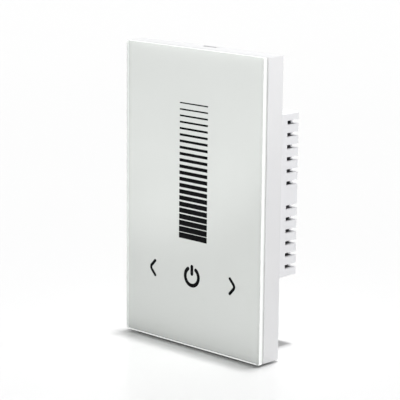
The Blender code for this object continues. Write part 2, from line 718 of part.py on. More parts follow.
def make_mounting_plate():
    """The pressed plate that is screwed to the wall box."""
    shape = new_slab(PLATE_WIDTH, PLATE_HEIGHT, 0.0, PLATE_THICKNESS, PLATE_CORNER_RADIUS)
    plate = add_piece("mounting_plate", mesh_from(shape, "mounting_plate"),
                      (0, PLATE_FRONT_Y, PANEL_MIDDLE_Z), "plated_steel")
    back = PLATE_THICKNESS + CUT_PAST
    holes = bmesh.new()
    window_x = COLUMN_X - SCREW_HEAD_RADIUS - PLATE_WINDOW_MARGIN
    window_z = COLUMN_Z - SCREW_HEAD_RADIUS - PLATE_WINDOW_MARGIN
    add_block(holes, (-window_x, -CUT_PAST, BOX_RAISE - window_z),
              (window_x, back, BOX_RAISE + window_z))
    for x, z in corner_places(COLUMN_X, COLUMN_Z):
        add_bar(holes, SCREW_HOLE_RADIUS, -CUT_PAST, back, x, BOX_RAISE + z, SMALL_HOLE_SIDES)
    straight = (MOUNTING_SLOT_LENGTH - MOUNTING_SLOT_WIDTH) / 2
    for end in (-1, 1):
        add_oblong(holes, MOUNTING_SLOT_WIDTH / 2, straight, -CUT_PAST, back,
                   end * MOUNTING_SPACING / 2)
    cut(plate, "plate_holes", holes)


def add_oblong(shape, radius, straight, front, back, z):
    """Add an oblong bar along Y: a round bar pulled apart along X."""
    turn = Matrix.Rotation(math.pi / 2, 4, "X")
    place = Matrix.Translation((0.0, (front + back) / 2, z)) @ turn
    made = bmesh.ops.create_cone(shape, cap_ends=True, segments=HOLE_SIDES, radius1=radius,
                                 radius2=radius, depth=back - front, matrix=place)
    for vert in made["verts"]:
        if abs(vert.co.x) > radius / 1000:
            vert.co.x += math.copysign(straight, vert.co.x)


def clip_places():
    """Return the side and the height above the panel's middle of each panel clip."""
    return [(side, BOX_RAISE + z) for side, z in corner_places(1, CLIP_Z)]


def clip_bulge_y():
    """Depth of the widest place of the panel clips."""
    foot_y = PLATE_FRONT_Y - SEAT_GAP - CLIP_SHEET / 2
    return foot_y - CLIP_BULGE - CATCH_THICKNESS - CATCH_SETBACK


def clip_path(side):
    """Points along a clip's strip, from its foot on the plate to its free end."""
    foot_y = PLATE_FRONT_Y - SEAT_GAP - CLIP_SHEET / 2
    bulge_y = clip_bulge_y()
    bulge_x = FRAME_INNER_WIDTH / 2 - CATCH_REACH + CLIP_CATCH_OVERLAP - CLIP_SHEET / 2
    neck_x = FRAME_INNER_WIDTH / 2 - CATCH_REACH - SEAT_GAP - CLIP_BULGE
    path = [(neck_x - CLIP_FOOT_INSET / 2 - CLIP_FOOT, foot_y),
            (neck_x - CLIP_FOOT_INSET / 2, foot_y),
            (neck_x, foot_y - CLIP_FOOT_INSET / 2),
            (neck_x, bulge_y + CLIP_BULGE)]
    path.append((bulge_x - CLIP_BULGE / 4, bulge_y + CLIP_BULGE / 3))
    path.append((bulge_x, bulge_y))
    path.append((bulge_x - CLIP_BULGE / 4, bulge_y - CLIP_BULGE / 3))
    path.append((neck_x, bulge_y - CLIP_BULGE))
    return [(side * x, y) for x, y in path]


def make_panel_clips():
    """Bent spring strips on the plate that hold the front panel by its catches."""
    for index, (side, z) in enumerate(clip_places()):
        shape = bmesh.new()
        rows = []
        for x, y in clip_path(side):
            rows.append([shape.verts.new((x, y - PLATE_FRONT_Y, end * CLIP_WIDTH / 2))
                         for end in (-1, 1)])
        for near, far in zip(rows, rows[1:]):
            shape.faces.new((near[0], near[1], far[1], far[0]))
        clip = add_piece(f"panel_clip_{index + 1}", mesh_from(shape, "panel_clip"),
                         (0, PLATE_FRONT_Y, PANEL_MIDDLE_Z + z), "spring_steel")
        sheet = clip.modifiers.new("sheet", "SOLIDIFY")
        sheet.thickness = CLIP_SHEET
        sheet.offset = 0.0
        sheet.use_even_offset = True


def make_rear_box():
    """The white box behind the plate, open at the front."""
    depth = BOX_BACK_Y - BOX_FRONT_Y
    shape = new_slab(BOX_WIDTH, BOX_HEIGHT, 0.0, depth, BOX_CORNER_CHAMFER, corner_steps=1)
    box = add_piece("rear_housing", mesh_from(shape, "rear_housing"),
                    (0, BOX_FRONT_Y, BOX_MIDDLE_Z), "box_plastic")
    cut(box, "box_hollow", new_slab(BOX_INNER_WIDTH, BOX_INNER_HEIGHT, -CUT_PAST,
                                    depth - BOX_WALL))
    join(box, "box_columns", box_columns())
    join(box, "box_posts", box_posts(depth))
    cut(box, "box_screw_holes", box_screw_holes())
    cut(box, "box_vents", box_vents(depth))
    cut(box, "box_terminal_window", terminal_window(depth))


def box_columns():
    """Columns in the four corners of the box's mouth, for the plate's screws."""
    shape = bmesh.new()
    half = COLUMN_SIZE / 2
    for x, z in corner_places(COLUMN_X, COLUMN_Z):
        x_pair = sorted((x - math.copysign(half, x), x + math.copysign(half + JOIN, x)))
        z_pair = sorted((z - math.copysign(half, z), z + math.copysign(half + JOIN, z)))
        add_block(shape, (x_pair[0], 0.0, z_pair[0]), (x_pair[1], COLUMN_LENGTH, z_pair[1]))
    return shape


def post_places():
    """Return the x and height above the box's middle of the four board posts."""
    return [(-POST_X, UPPER_POST_Z), (POST_X, UPPER_POST_Z),
            (-POST_X, LOWER_POST_Z), (POST_X, LOWER_POST_Z)]


def power_screw_places():
    """The board is screwed to two of its posts, on a diagonal."""
    places = post_places()
    return [places[0], places[3]]


def box_posts(depth):
    """Posts on the box's rear wall that carry the power board."""
    shape = bmesh.new()
    start = POWER_BOARD_BACK_Y + SEAT_GAP - BOX_FRONT_Y
    for x, z in post_places():
        add_bar(shape, POST_RADIUS, start, depth - BOX_WALL + JOIN, x, z, SCREW_STEPS)
    return shape


def box_screw_holes():
    """Screw holes in the columns and in two of the posts."""
    shape = bmesh.new()
    column_end = PLATE_FRONT_Y - SEAT_GAP + HOUSING_SCREW_LENGTH + SEAT_GAP - BOX_FRONT_Y
    for x, z in corner_places(COLUMN_X, COLUMN_Z):
        add_bar(shape, SCREW_HOLE_RADIUS, -CUT_PAST, column_end, x, z, SMALL_HOLE_SIDES)
    post_start = POWER_BOARD_BACK_Y - BOX_FRONT_Y
    post_end = POWER_BOARD_FRONT_Y + POWER_SCREW_LENGTH - BOX_FRONT_Y
    for x, z in power_screw_places():
        add_bar(shape, SCREW_HOLE_RADIUS, post_start, post_end, x, z, SMALL_HOLE_SIDES)
    return shape


def box_vents(depth):
    """Slots that run round both rear corners of the box."""
    shape = bmesh.new()
    steps = [step for step in range(-SLOTS_EACH_WAY, SLOTS_EACH_WAY + 1) if step != 0]
    for step in steps:
        z = step * SLOT_PITCH
        for side in (-1, 1):
            x_pair = sorted((side * (BOX_WIDTH / 2 - SLOT_REAR_LENGTH),
                             side * (BOX_WIDTH / 2 + CUT_PAST)))
            add_block(shape, (x_pair[0], depth - SLOT_SIDE_LENGTH, z - SLOT_HEIGHT / 2),
                      (x_pair[1], depth + CUT_PAST, z + SLOT_HEIGHT / 2))
    return shape


def terminal_window(depth):
    """The opening round the terminal block, in the box's lower and rear walls."""
    shape = bmesh.new()
    half_width = BLOCK_WIDTH / 2 + SEAT_GAP
    add_block(shape, (-half_width, BLOCK_FRONT_Y - SEAT_GAP - BOX_FRONT_Y,
                      -BOX_HEIGHT / 2 - CUT_PAST),
              (half_width, depth + CUT_PAST, BLOCK_TOP_Z + SEAT_GAP - BOX_MIDDLE_Z))
    return shape


def make_housing_screws():
    """Screws through the plate into the box's columns."""
    mesh = screw_mesh("housing_screw", HOUSING_SCREW_LENGTH)
    for index, (x, z) in enumerate(corner_places(COLUMN_X, COLUMN_Z)):
        add_piece(f"housing_screw_{index + 1}", mesh,
                  (x, PLATE_FRONT_Y - SEAT_GAP, BOX_MIDDLE_Z + z), "plated_steel", None,
                  FACE_FORWARD)


def make_power_board():
    """The power board, notched round the columns, with holes for screws and pins."""
    width = BOX_INNER_WIDTH - 2 * SEAT_GAP
    height = BOX_INNER_HEIGHT - 2 * SEAT_GAP
    shape = new_slab(width, height, 0.0, POWER_BOARD_THICKNESS)
    board = add_piece("power_board", mesh_from(shape, "power_board"),
                      (0, POWER_BOARD_FRONT_Y, BOX_MIDDLE_Z), "board")
    openings = bmesh.new()
    back = POWER_BOARD_THICKNESS + CUT_PAST
    half = COLUMN_SIZE / 2 + SEAT_GAP
    for x, z in corner_places(COLUMN_X, COLUMN_Z):
        add_block(openings, (x - half, -CUT_PAST, z - half), (x + half, back, z + half))
    for x, z in power_screw_places():
        add_bar(openings, SCREW_HOLE_RADIUS, -CUT_PAST, back, x, z, SMALL_HOLE_SIDES)
    for x in pole_places():
        add_bar(openings, CONTACT_PIN_WIDTH / math.sqrt(2) + SEAT_GAP, -CUT_PAST, back, x,
                CONTACT_PIN_Z - BOX_MIDDLE_Z, SMALL_HOLE_SIDES)
    half = LINK_PIN_WIDTH / 2 + SEAT_GAP
    pin_z = LINK_Z - BOX_MIDDLE_Z
    for x in link_pin_places():
        add_block(openings, (x - half, -CUT_PAST, pin_z - half), (x + half, back, pin_z + half))
    cut(board, "power_board_openings", openings)


def make_power_screws():
    """Screws that hold the power board to two posts."""
    mesh = screw_mesh("power_screw", POWER_SCREW_LENGTH)
    for index, (x, z) in enumerate(power_screw_places()):
        add_piece(f"power_board_screw_{index + 1}", mesh,
                  (x, POWER_BOARD_FRONT_Y - SEAT_GAP, BOX_MIDDLE_Z + z), "plated_steel", None,
                  FACE_FORWARD)


def make_link_header():
    """The pin strip on the power board, its pins reaching into the socket."""
    width = LINK_PINS * LINK_PITCH
    shape = bmesh.new()
    add_block(shape, (-width / 2, 0.0, -LINK_BODY / 2), (width / 2, LINK_BODY, LINK_BODY / 2))
    header = add_piece("link_header", mesh_from(shape, "link_header"),
                       (0, LINK_HEADER_FRONT_Y, LINK_Z), "black_plastic")
    pins = bmesh.new()
    half = LINK_PIN_WIDTH / 2
    tip = LINK_SOCKET_FRONT_Y + LINK_SOCKET_FLOOR - LINK_HEADER_FRONT_Y
    tail = POWER_BOARD_BACK_Y + LINK_PIN_TAIL - LINK_HEADER_FRONT_Y
    for x in link_pin_places():
        add_block(pins, (x - half, tip, -half), (x + half, tail, half))
    join(header, "link_pins", pins)


def make_capacitors():
    """Two round capacitors that stand on the back of the power board."""
    radius = CAPACITOR_RADIUS
    groove = CAPACITOR_GROOVE
    outline = [
        (0.0, CAPACITOR_HEIGHT - groove),
        (radius - 3 * groove, CAPACITOR_HEIGHT - groove),
        (radius - 2 * groove, CAPACITOR_HEIGHT),
        (radius - groove, CAPACITOR_HEIGHT),
        (radius, CAPACITOR_HEIGHT - groove),
        (radius, 5 * groove),
        (radius - groove, 4 * groove),
        (radius, 3 * groove),
        (radius, groove),
        (radius - groove, 0.0),
        (0.0, 0.0),
    ]
    mesh = turned_mesh("capacitor", outline)
    for index, side in enumerate((-1, 1)):
        add_piece(f"capacitor_{index + 1}", mesh,
                  (side * CAPACITOR_SPACING / 2, POWER_BOARD_BACK_Y + SEAT_GAP, CAPACITOR_Z),
                  "aluminium", None, FACE_BACK)


def make_choke():
    """A drum-cored choke: the core with its two flanges, and the coil round its waist."""
    core = [
        (0.0, CHOKE_HEIGHT),
        (CHOKE_RADIUS, CHOKE_HEIGHT),
        (CHOKE_RADIUS, CHOKE_HEIGHT - CHOKE_FLANGE),
        (CHOKE_WAIST_RADIUS, CHOKE_HEIGHT - CHOKE_FLANGE),
        (CHOKE_WAIST_RADIUS, CHOKE_FLANGE),
        (CHOKE_RADIUS, CHOKE_FLANGE),
        (CHOKE_RADIUS, 0.0),
        (0.0, 0.0),
    ]
    place = (0, POWER_BOARD_BACK_Y + SEAT_GAP, CHOKE_Z)
    add_piece("choke_core", turned_mesh("choke_core", core), place, "ferrite", None, FACE_BACK)
    top = CHOKE_HEIGHT - CHOKE_FLANGE - SEAT_GAP
    bottom = CHOKE_FLANGE + SEAT_GAP
    outer = CHOKE_RADIUS - CHOKE_COIL_INSET
    turn = (top - bottom) / CHOKE_COIL_TURNS
    coil = [(CHOKE_WAIST_RADIUS + SEAT_GAP, top)]
    for index in range(CHOKE_COIL_TURNS):
        coil.append((outer - turn / 6, top - index * turn - turn / 20))
        coil.append((outer, top - index * turn - turn / 2))
    coil.append((outer - turn / 6, bottom))
    coil.append((CHOKE_WAIST_RADIUS + SEAT_GAP, bottom))
    add_piece("choke_winding", turned_mesh("choke_winding", coil, closed=True), place, "copper",
              None, FACE_BACK)


def make_heat_sink():
    """A finned heat sink on the back of the power board."""
    half_width = POST_X - POST_RADIUS - ROW_SPACE / 2
    base = HEAT_SINK_BASE
    pitch = (2 * half_width - HEAT_SINK_FIN) / (HEAT_SINK_FINS - 1)
    points = [(-half_width, 0.0), (half_width, 0.0)]
    for index in reversed(range(HEAT_SINK_FINS)):
        left = -half_width + index * pitch
        right = left + HEAT_SINK_FIN
        if index < HEAT_SINK_FINS - 1:
            points.append((right, base))
        points.append((right, HEAT_SINK_HEIGHT))
        points.append((left, HEAT_SINK_HEIGHT))
        if index > 0:
            points.append((left, base))
    mesh = outline_mesh("heat_sink", points, HEAT_SINK_TOP_Z - HEAT_SINK_BOTTOM_Z)
    middle_z = (HEAT_SINK_TOP_Z + HEAT_SINK_BOTTOM_Z) / 2
    add_piece("heat_sink", mesh, (0, POWER_BOARD_BACK_Y + SEAT_GAP, middle_z), "black_metal")


def make_transistors():
    """Two flat power transistors on the front of the power board."""
    shape = bmesh.new()
    half = TRANSISTOR_WIDTH / 2
    back = TRANSISTOR_THICKNESS
    add_block(shape, (-half, 0.0, -TRANSISTOR_HEIGHT / 2), (half, back, TRANSISTOR_HEIGHT / 2))
    place_y = POWER_BOARD_FRONT_Y - SEAT_GAP - TRANSISTOR_THICKNESS
    place_z = HEAT_SINK_BOTTOM_Z + (HEAT_SINK_TOP_Z - HEAT_SINK_BOTTOM_Z) / 3
    first = add_piece("transistor_1", mesh_from(shape, "transistor"),
                      (-TRANSISTOR_SPACING / 2, place_y, place_z), "black_plastic")
    tabs = bmesh.new()
    tab_half = half - TRANSISTOR_TAB / 2
    add_block(tabs, (-tab_half, back / 2, TRANSISTOR_HEIGHT / 2 - JOIN),
              (tab_half, back, TRANSISTOR_HEIGHT / 2 + TRANSISTOR_TAB))
    for side in (-1, 1):
        x = side * TRANSISTOR_LEG_SPACING / 2
        add_block(tabs, (x - TRANSISTOR_LEG_WIDTH / 2, back / 2,
                         -TRANSISTOR_HEIGHT / 2 - TRANSISTOR_LEG),
                  (x + TRANSISTOR_LEG_WIDTH / 2, back, JOIN - TRANSISTOR_HEIGHT / 2))
    join(first, "transistor_tabs", tabs)
    mesh = bake(first)
    add_piece("transistor_2", mesh, (TRANSISTOR_SPACING / 2, place_y, place_z), "black_plastic")


def make_terminal_block():
    """The block's body: a cavity, a screw well and a wire entry for each pole."""
    shape = bmesh.new()
    depth = BLOCK_BACK_Y - BLOCK_FRONT_Y
    add_block(shape, (-BLOCK_WIDTH / 2, 0.0, 0.0), (BLOCK_WIDTH / 2, depth, BLOCK_LENGTH))
    block = add_piece("terminal_block", mesh_from(shape, "terminal_block"),
                      (0, BLOCK_FRONT_Y, BLOCK_BOTTOM_Z), "black_plastic")
    cavities = bmesh.new()
    wells = bmesh.new()
    throats = bmesh.new()
    entries = bmesh.new()
    cavity_back = CAVITY_BACK_Y - BLOCK_FRONT_Y
    well_floor = WELL_FLOOR_Y - BLOCK_FRONT_Y
    axis_z = CAGE_MIDDLE_Z - BLOCK_BOTTOM_Z
    wire_y = (CAGE_FRONT_Y + CAGE_WALL + CONTACT_FRONT_Y) / 2 - BLOCK_FRONT_Y
    for x in pole_places():
        add_block(cavities, (x - CAVITY_WIDTH / 2, -CUT_PAST, BLOCK_SKIN),
                  (x + CAVITY_WIDTH / 2, cavity_back, BLOCK_LENGTH - BLOCK_SKIN))
        add_bar(wells, WELL_RADIUS, well_floor, depth + CUT_PAST, x, axis_z)
        add_bar(throats, TERMINAL_SHANK_RADIUS + SEAT_GAP, cavity_back - JOIN,
                well_floor + JOIN, x, axis_z, SCREW_STEPS)
        place = Matrix.Translation((x, wire_y, BLOCK_SKIN / 2))
        bmesh.ops.create_cone(entries, cap_ends=True, segments=SCREW_STEPS, radius1=ENTRY_RADIUS,
                              radius2=ENTRY_RADIUS, depth=BLOCK_SKIN + CUT_PAST, matrix=place)
    cut(block, "block_cavities", cavities)
    cut(block, "block_wells", wells)
    cut(block, "block_throats", throats)
    cut(block, "block_entries", entries)


def terminal_screw_mesh():
    """A slotted screw along Z, its head's underside at z = 0."""
    length = WELL_FLOOR_Y + SEAT_GAP - (CONTACT_BACK_Y + SEAT_GAP)
    edge = TERMINAL_HEAD_HEIGHT / 6
    outline = [
        (0.0, TERMINAL_HEAD_HEIGHT),
        (TERMINAL_HEAD_RADIUS - edge, TERMINAL_HEAD_HEIGHT),
        (TERMINAL_HEAD_RADIUS, TERMINAL_HEAD_HEIGHT - edge),
        (TERMINAL_HEAD_RADIUS, 0.0),
        (TERMINAL_SHANK_RADIUS, 0.0),
        (TERMINAL_SHANK_RADIUS, -length),
        (0.0, -length),
    ]
    blank = bpy.data.objects.new("terminal_screw", turned_mesh("terminal_screw", outline))
    PARTS.objects.link(blank)
    slot = bmesh.new()
    reach = TERMINAL_HEAD_RADIUS + CUT_PAST
    add_block(slot, (-reach, -TERMINAL_SLOT_WIDTH / 2, TERMINAL_HEAD_HEIGHT - TERMINAL_SLOT_DEPTH),
              (reach, TERMINAL_SLOT_WIDTH / 2, TERMINAL_HEAD_HEIGHT + CUT_PAST))
    cut(blank, "terminal_screw_slot", slot)
    mesh = bake(blank)
    bpy.data.objects.remove(blank, do_unlink=True)
    return mesh


def make_terminal_screws():
    """Captive screws that lift the cages. Each has its origin on its own axis."""
    mesh = terminal_screw_mesh()
    for index, x in enumerate(pole_places()):
        add_piece(f"terminal_screw_{index + 1}", mesh,
                  (x, WELL_FLOOR_Y + SEAT_GAP, CAGE_MIDDLE_Z), "plated_steel", None, FACE_BACK)


def make_wire_clamps():
    """Cages that rise on the screws and press the wire against the contact."""
    shape = bmesh.new()
    width = CAVITY_WIDTH - 2 * SEAT_GAP
    half_length = CAGE_LENGTH / 2
    add_block(shape, (-width / 2, 0.0, -half_length), (width / 2, CAGE_HEIGHT, half_length))
    places = [(x, CAGE_FRONT_Y, CAGE_MIDDLE_Z) for x in pole_places()]
    first = add_piece("wire_clamp_1", mesh_from(shape, "wire_clamp"), places[0], "tinned_brass")
    window = bmesh.new()
    reach = half_length + CUT_PAST
    add_block(window, (CAGE_WALL - width / 2, CAGE_WALL, -reach),
              (width / 2 - CAGE_WALL, CAGE_HEIGHT - CAGE_WALL, reach))
    cut(first, "wire_clamp_window", window)
    hole = bmesh.new()
    add_bar(hole, TERMINAL_SHANK_RADIUS + SEAT_GAP, CAGE_HEIGHT - CAGE_WALL - CUT_PAST,
            CAGE_HEIGHT + CUT_PAST, 0.0, 0.0)
    cut(first, "wire_clamp_hole", hole)
    mesh = bake(first)
    for index, place in enumerate(places[1:]):
        add_piece(f"wire_clamp_{index + 2}", mesh, place, "tinned_brass")


def make_contact_pins():
    """Contact strips through the cages, each with a pin that goes into the power board."""
    shape = bmesh.new()
    half = CONTACT_WIDTH / 2
    low_z = BLOCK_BOTTOM_Z + BLOCK_SKIN + SEAT_GAP - CONTACT_PIN_Z
    high_z = BLOCK_TOP_Z - BLOCK_SKIN - SEAT_GAP - CONTACT_PIN_Z
    add_block(shape, (-half, 0.0, low_z), (half, CONTACT_THICKNESS, high_z))
    places = [(x, CONTACT_FRONT_Y, CONTACT_PIN_Z) for x in pole_places()]
    first = add_piece("contact_pin_1", mesh_from(shape, "contact_pin"), places[0], "tinned_brass")
    pin = bmesh.new()
    pin_half = CONTACT_PIN_WIDTH / 2
    tip = POWER_BOARD_FRONT_Y - CONTACT_PIN_REACH - CONTACT_FRONT_Y
    add_block(pin, (-pin_half, tip, -pin_half), (pin_half, JOIN, pin_half))
    join(first, "contact_pin_leg", pin)
    mesh = bake(first)
    for index, place in enumerate(places[1:]):
        add_piece(f"contact_pin_{index + 2}", mesh, place, "tinned_brass")


def make_front_panel():
    """Everything that comes off the wall plate with the glass."""
    carrier = bpy.data.objects.new("front_panel", None)
    carrier.location = (0, FRONT_Y, PANEL_MIDDLE_Z)
    PARTS.objects.link(carrier)
    make_glass(carrier)
    make_front_frame(carrier)
    make_touch_board(carrier)
    make_springs(carrier)
    make_lamp(carrier)
    make_touch_controller(carrier)
    make_link_socket(carrier)
    make_touch_screws(carrier)


def make_base():
    """The plate and the box that stay on the wall, with what they carry."""
    make_mounting_plate()
    make_panel_clips()
    make_rear_box()
    make_housing_screws()
    make_power_board()
    make_power_screws()
    make_link_header()
    make_capacitors()
    make_choke()
    make_heat_sink()
    make_transistors()


def make_terminals():
    """The terminal block, its contacts, and the pieces that move in it."""
    make_terminal_block()
    make_contact_pins()
    make_terminal_screws()
    make_wire_clamps()


clear_scene()
PARTS = new_collection("touch_dimmer_switch")
TOOLS = new_collection("cutters")
make_front_panel()
make_base()
make_terminals()
bpy.context.view_layer.update()
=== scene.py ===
"""Looks of the touch dimmer switch: glass front, white frame, vented box and its insides.

Sizes are in metres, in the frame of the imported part: the glass faces -Y and +Z is up.
"""

import math

import bmesh
import bpy
from mathutils import Matrix, Vector


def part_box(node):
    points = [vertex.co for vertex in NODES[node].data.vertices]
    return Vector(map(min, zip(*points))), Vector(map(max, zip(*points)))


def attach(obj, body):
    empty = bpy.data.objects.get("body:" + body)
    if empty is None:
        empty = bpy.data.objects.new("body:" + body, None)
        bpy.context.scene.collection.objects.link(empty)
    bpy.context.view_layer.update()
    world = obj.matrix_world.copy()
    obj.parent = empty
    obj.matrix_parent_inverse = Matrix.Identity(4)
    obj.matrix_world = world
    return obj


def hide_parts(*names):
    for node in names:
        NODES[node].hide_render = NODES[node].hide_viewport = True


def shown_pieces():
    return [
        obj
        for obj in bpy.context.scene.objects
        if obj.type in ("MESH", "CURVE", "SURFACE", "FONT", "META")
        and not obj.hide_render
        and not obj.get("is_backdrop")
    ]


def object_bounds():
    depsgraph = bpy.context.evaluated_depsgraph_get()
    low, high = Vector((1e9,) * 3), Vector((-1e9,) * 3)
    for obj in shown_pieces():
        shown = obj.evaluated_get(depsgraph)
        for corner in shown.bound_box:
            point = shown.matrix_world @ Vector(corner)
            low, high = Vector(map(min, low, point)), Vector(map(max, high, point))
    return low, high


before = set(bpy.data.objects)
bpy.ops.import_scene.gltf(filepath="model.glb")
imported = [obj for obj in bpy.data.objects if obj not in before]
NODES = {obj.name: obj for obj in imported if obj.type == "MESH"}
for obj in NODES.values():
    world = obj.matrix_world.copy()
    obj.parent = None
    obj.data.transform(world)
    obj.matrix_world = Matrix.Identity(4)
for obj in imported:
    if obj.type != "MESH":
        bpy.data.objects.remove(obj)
CAD_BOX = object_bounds()

MM = 0.001
FORWARD = Matrix.Rotation(math.pi / 2, 4, "X")
BACKWARD = Matrix.Rotation(-math.pi / 2, 4, "X")

# Camera, found from the corners of the glass
FOCUS_PIXELS = 1793.5
CAMERA_TURN = 43.885
CAMERA_RISE = 12.048
CAMERA_ROLL = 0.534
CAMERA_DISTANCE = 707.1 * MM
CAMERA_CENTRE = (190.633, 200.314)
PHOTO_SIZE = 400
SENSOR_WIDTH = 36.0
NEAREST_VIEW = 10.0 * MM

# Pry notch in the frame's upper wall, closed at the back by a thin lip
FRAME_WALL = 2.0 * MM
NOTCH_WIDTH = 7.3 * MM
NOTCH_LIP = 0.9 * MM
NOTCH_DROP = 0.1 * MM

# Glass pane; its edge has a painted glow, which sets in over the start heights and falls over the
# fall heights
GLASS_IOR = 1.45
PANE_DEPTH = 2.5 * MM
PANE_CORNER = 0.5 * MM
PANE_CHAMFER = 0.6 * MM
PANE_ARRIS = 0.25 * MM
PANE_STEPS = 6
PAINTED_GLOW_LEVELS = (0.46, 0.17)
PAINTED_GLOW_START = (0.02 * MM, 0.12 * MM)
PAINTED_GLOW_FALL = (0.4 * MM, 1.2 * MM)

# Print behind the glass, with painted shade that greys it towards the top over the fade heights
FIELD_SHADE_FADE = (75.0 * MM, 121.0 * MM)
FIELD_INSET = 0.15 * MM
PRINT_SPACE = 0.02 * MM
PRINT_DEPTH = 0.04 * MM
BAR_SIZES = {"Bar Count": 22, "Pitch": 2.54 * MM, "Width": 15.3 * MM, "Depth": PRINT_DEPTH,
             "Thin": 0.5 * MM, "Thick": 2.3 * MM}
BAR_TOP = 38.0 * MM
MARK_DROP = 31.4 * MM
MARK_SHIFT = -0.33 * MM
ARROW_SIDE = 22.1 * MM
ARROW_WIDTH = 2.8 * MM
ARROW_HEIGHT = 6.05 * MM
ARROW_STROKE = 1.24 * MM
ARROW_BEND = 1.3 * MM
RING_RADIUS = 3.65 * MM
RING_STROKE = 1.55 * MM
RING_GAP = 35.0
RING_STEPS = 64
POWER_BAR = (1.15 * MM, 4.1 * MM)
ROUND_END_STEPS = 8

# Depths in the box's wall from which painted shade darkens its inside, and up to which it stays
# white
BOX_SHADE_DEPTHS = (1.4 * MM, 0.9 * MM)

# Studio: the camera sees the world white, and it lights and is mirrored by direction
FLOOR_DROP = 0.7 * MM
FLOOR_HALF = 4.0
FLOOR_IOR = 1.5
FLOOR_ROUGHNESS = 0.2
ROOM_LEVEL = 0.09
BACKDROP_LEVEL = 1.15
BACKDROP_WAY = (-0.69, 0.72, 0.0)
BACKDROP_SIDES = (-0.2, 0.6)
BACKDROP_TOP = (0.34, 0.50)
FRONT_SHARE = 0.12
HORIZON = (-0.04, 0.0)
MIRRORED_FLOOR = (0.02, 0.6)
MIRRORED_EDGE = (-0.3, 0.1)
OVERHEAD_POWER = 2.66
OVERHEAD_WIDTH = 5.0
OVERHEAD_WAY = (0.0, 0.056, 1.0)
PANEL_SIZE = 0.26
PANELS = (("front_light", (0.22, -0.69, 0.06), 3.05),
          ("right_light", (0.47, 0.17, 0.32), 1.25),
          ("left_light", (-0.72, 0.06, 0.14), 0.5),
          ("rear_light", (-0.10, 0.75, 0.14), 0.1))
SHEEN_PLACE = (-0.16, -0.70, 0.40)
SHEEN_AIM = (-0.032, 0.0, 0.129)
SHEEN_CONE = 14.5
SHEEN_BLEND = 0.42
SHEEN_POWER = 4.1

# Screws: the cross recess by length, width and depth, the slot by its cutter's half sizes
ROUND_STEPS = 32
SCREW_HEAD = (2.1 * MM, 1.3 * MM)
SCREW_SHANK = 1.0 * MM
SCREW_RECESS = (2.4 * MM, 0.6 * MM, 0.8 * MM)
HEAD_EDGE = 0.35
HEAD_STEPS = 6
CUT_OVER = 0.3 * MM
THREAD_PITCH = 0.8 * MM
THREAD_RIDGE = 0.2 * MM
THREAD_START = 0.7 * MM
THREAD_SHORTER = 1.6 * MM
TERMINAL_HEAD = 1.8 * MM
TERMINAL_SHANK = 1.4 * MM
TERMINAL_EDGE = 0.3 * MM
TERMINAL_SLOT = (3.0 * MM, 0.35 * MM, 0.9 * MM)

# Springs and choke
SPRING_WIRE = 0.25 * MM
SPRING_TURNS = 4.0
COIL_WIRE = 0.27 * MM
COIL_NESTING = 1.6
CHOKE_STEPS = 40
CHOKE_FLANGE = 1.2 * MM
CHOKE_WAIST = 2.4 * MM
CHOKE_EDGE = 0.2 * MM

# Capacitors and lamp
CAN_STEPS = 40
CAN_LIP = 0.4 * MM
CAN_SCORE = (0.08 * MM, 0.12 * MM)
STRIPE_SIDE = 8.15 * MM
DASH_RATE = 420.0
DASH_SHARE = 0.4
DASH_HEIGHT = 45.3 * MM
DASH_HALF = 0.35 * MM
LAMP_FLANGE = 0.4 * MM
LAMP_STEPS = 8

# Copies of solids: corners merged within this distance, faces within this angle
MERGED_WITHIN = 0.002 * MM
FLAT_WITHIN = 0.6

# Angles in degrees beyond which an edge is shaded sharp
SHARP = 30.0
SHARP_AFTER_CUTS = 32.0
SHARP_ON_PANE = 20.0


# Node helpers
def put(tree, kind, links=(), **values):
    """Add a node, set its values and link sockets to its inputs."""
    node = tree.nodes.new(kind)
    for key, value in values.items():
        setattr(node, key, value)
    for key, source in dict(links).items():
        if hasattr(source, "is_output"):
            tree.links.new(source, node.inputs[key])
        else:
            node.inputs[key].default_value = source
    return node


def feed(node, **sources):
    """Link values to a node's inputs."""
    for label, source in sources.items():
        node.id_data.links.new(source, node.inputs[label.replace("_", " ")])


def reckon(tree, operation, *sources, clamp=False):
    """Return the result of a Math node."""
    return put(tree, "ShaderNodeMath", dict(enumerate(sources)), operation=operation,
               use_clamp=clamp).outputs[0]


def times(tree, product, *factors):
    """Return the product of values."""
    for factor in factors:
        product = reckon(tree, "MULTIPLY", product, factor)
    return product


def rest_of(tree, share):
    """Return what a share leaves of one."""
    return reckon(tree, "SUBTRACT", 1.0, share)


def vector_of(tree, operation, *sources):
    """Return the result of a Vector Math node."""
    return put(tree, "ShaderNodeVectorMath", dict(enumerate(sources)),
               operation=operation).outputs[0]


def axes_of(tree, vector):
    """Return the X, Y and Z of a vector."""
    return put(tree, "ShaderNodeSeparateXYZ", {0: vector}).outputs


def vector_from(tree, x=0.0, y=0.0, z=0.0):
    """Return the vector of three values."""
    return put(tree, "ShaderNodeCombineXYZ", {"X": x, "Y": y, "Z": z}).outputs[0]


def object_spot(tree):
    """Return the place on the surface, in the piece's own coordinates."""
    return tree.nodes.new("ShaderNodeTexCoord").outputs["Object"]


def noise(tree, vector, scale, detail, rough=0.5):
    """Return the value of a Noise Texture."""
    links = {"Vector": vector, "Scale": scale, "Detail": detail, "Roughness": rough}
    return put(tree, "ShaderNodeTexNoise", links).outputs["Fac"]


def spread(tree, value, low, high, start=0.3, stop=0.7, curve="LINEAR"):
    """Return a value mapped from between start and stop to between low and high."""
    links = {0: value, 1: start, 2: stop, 3: low, 4: high}
    return put(tree, "ShaderNodeMapRange", links, interpolation_type=curve).outputs[0]


def blend(tree, share, first, second):
    """Return a value between two."""
    return put(tree, "ShaderNodeMix", {0: share, 2: first, 3: second}).outputs[0]


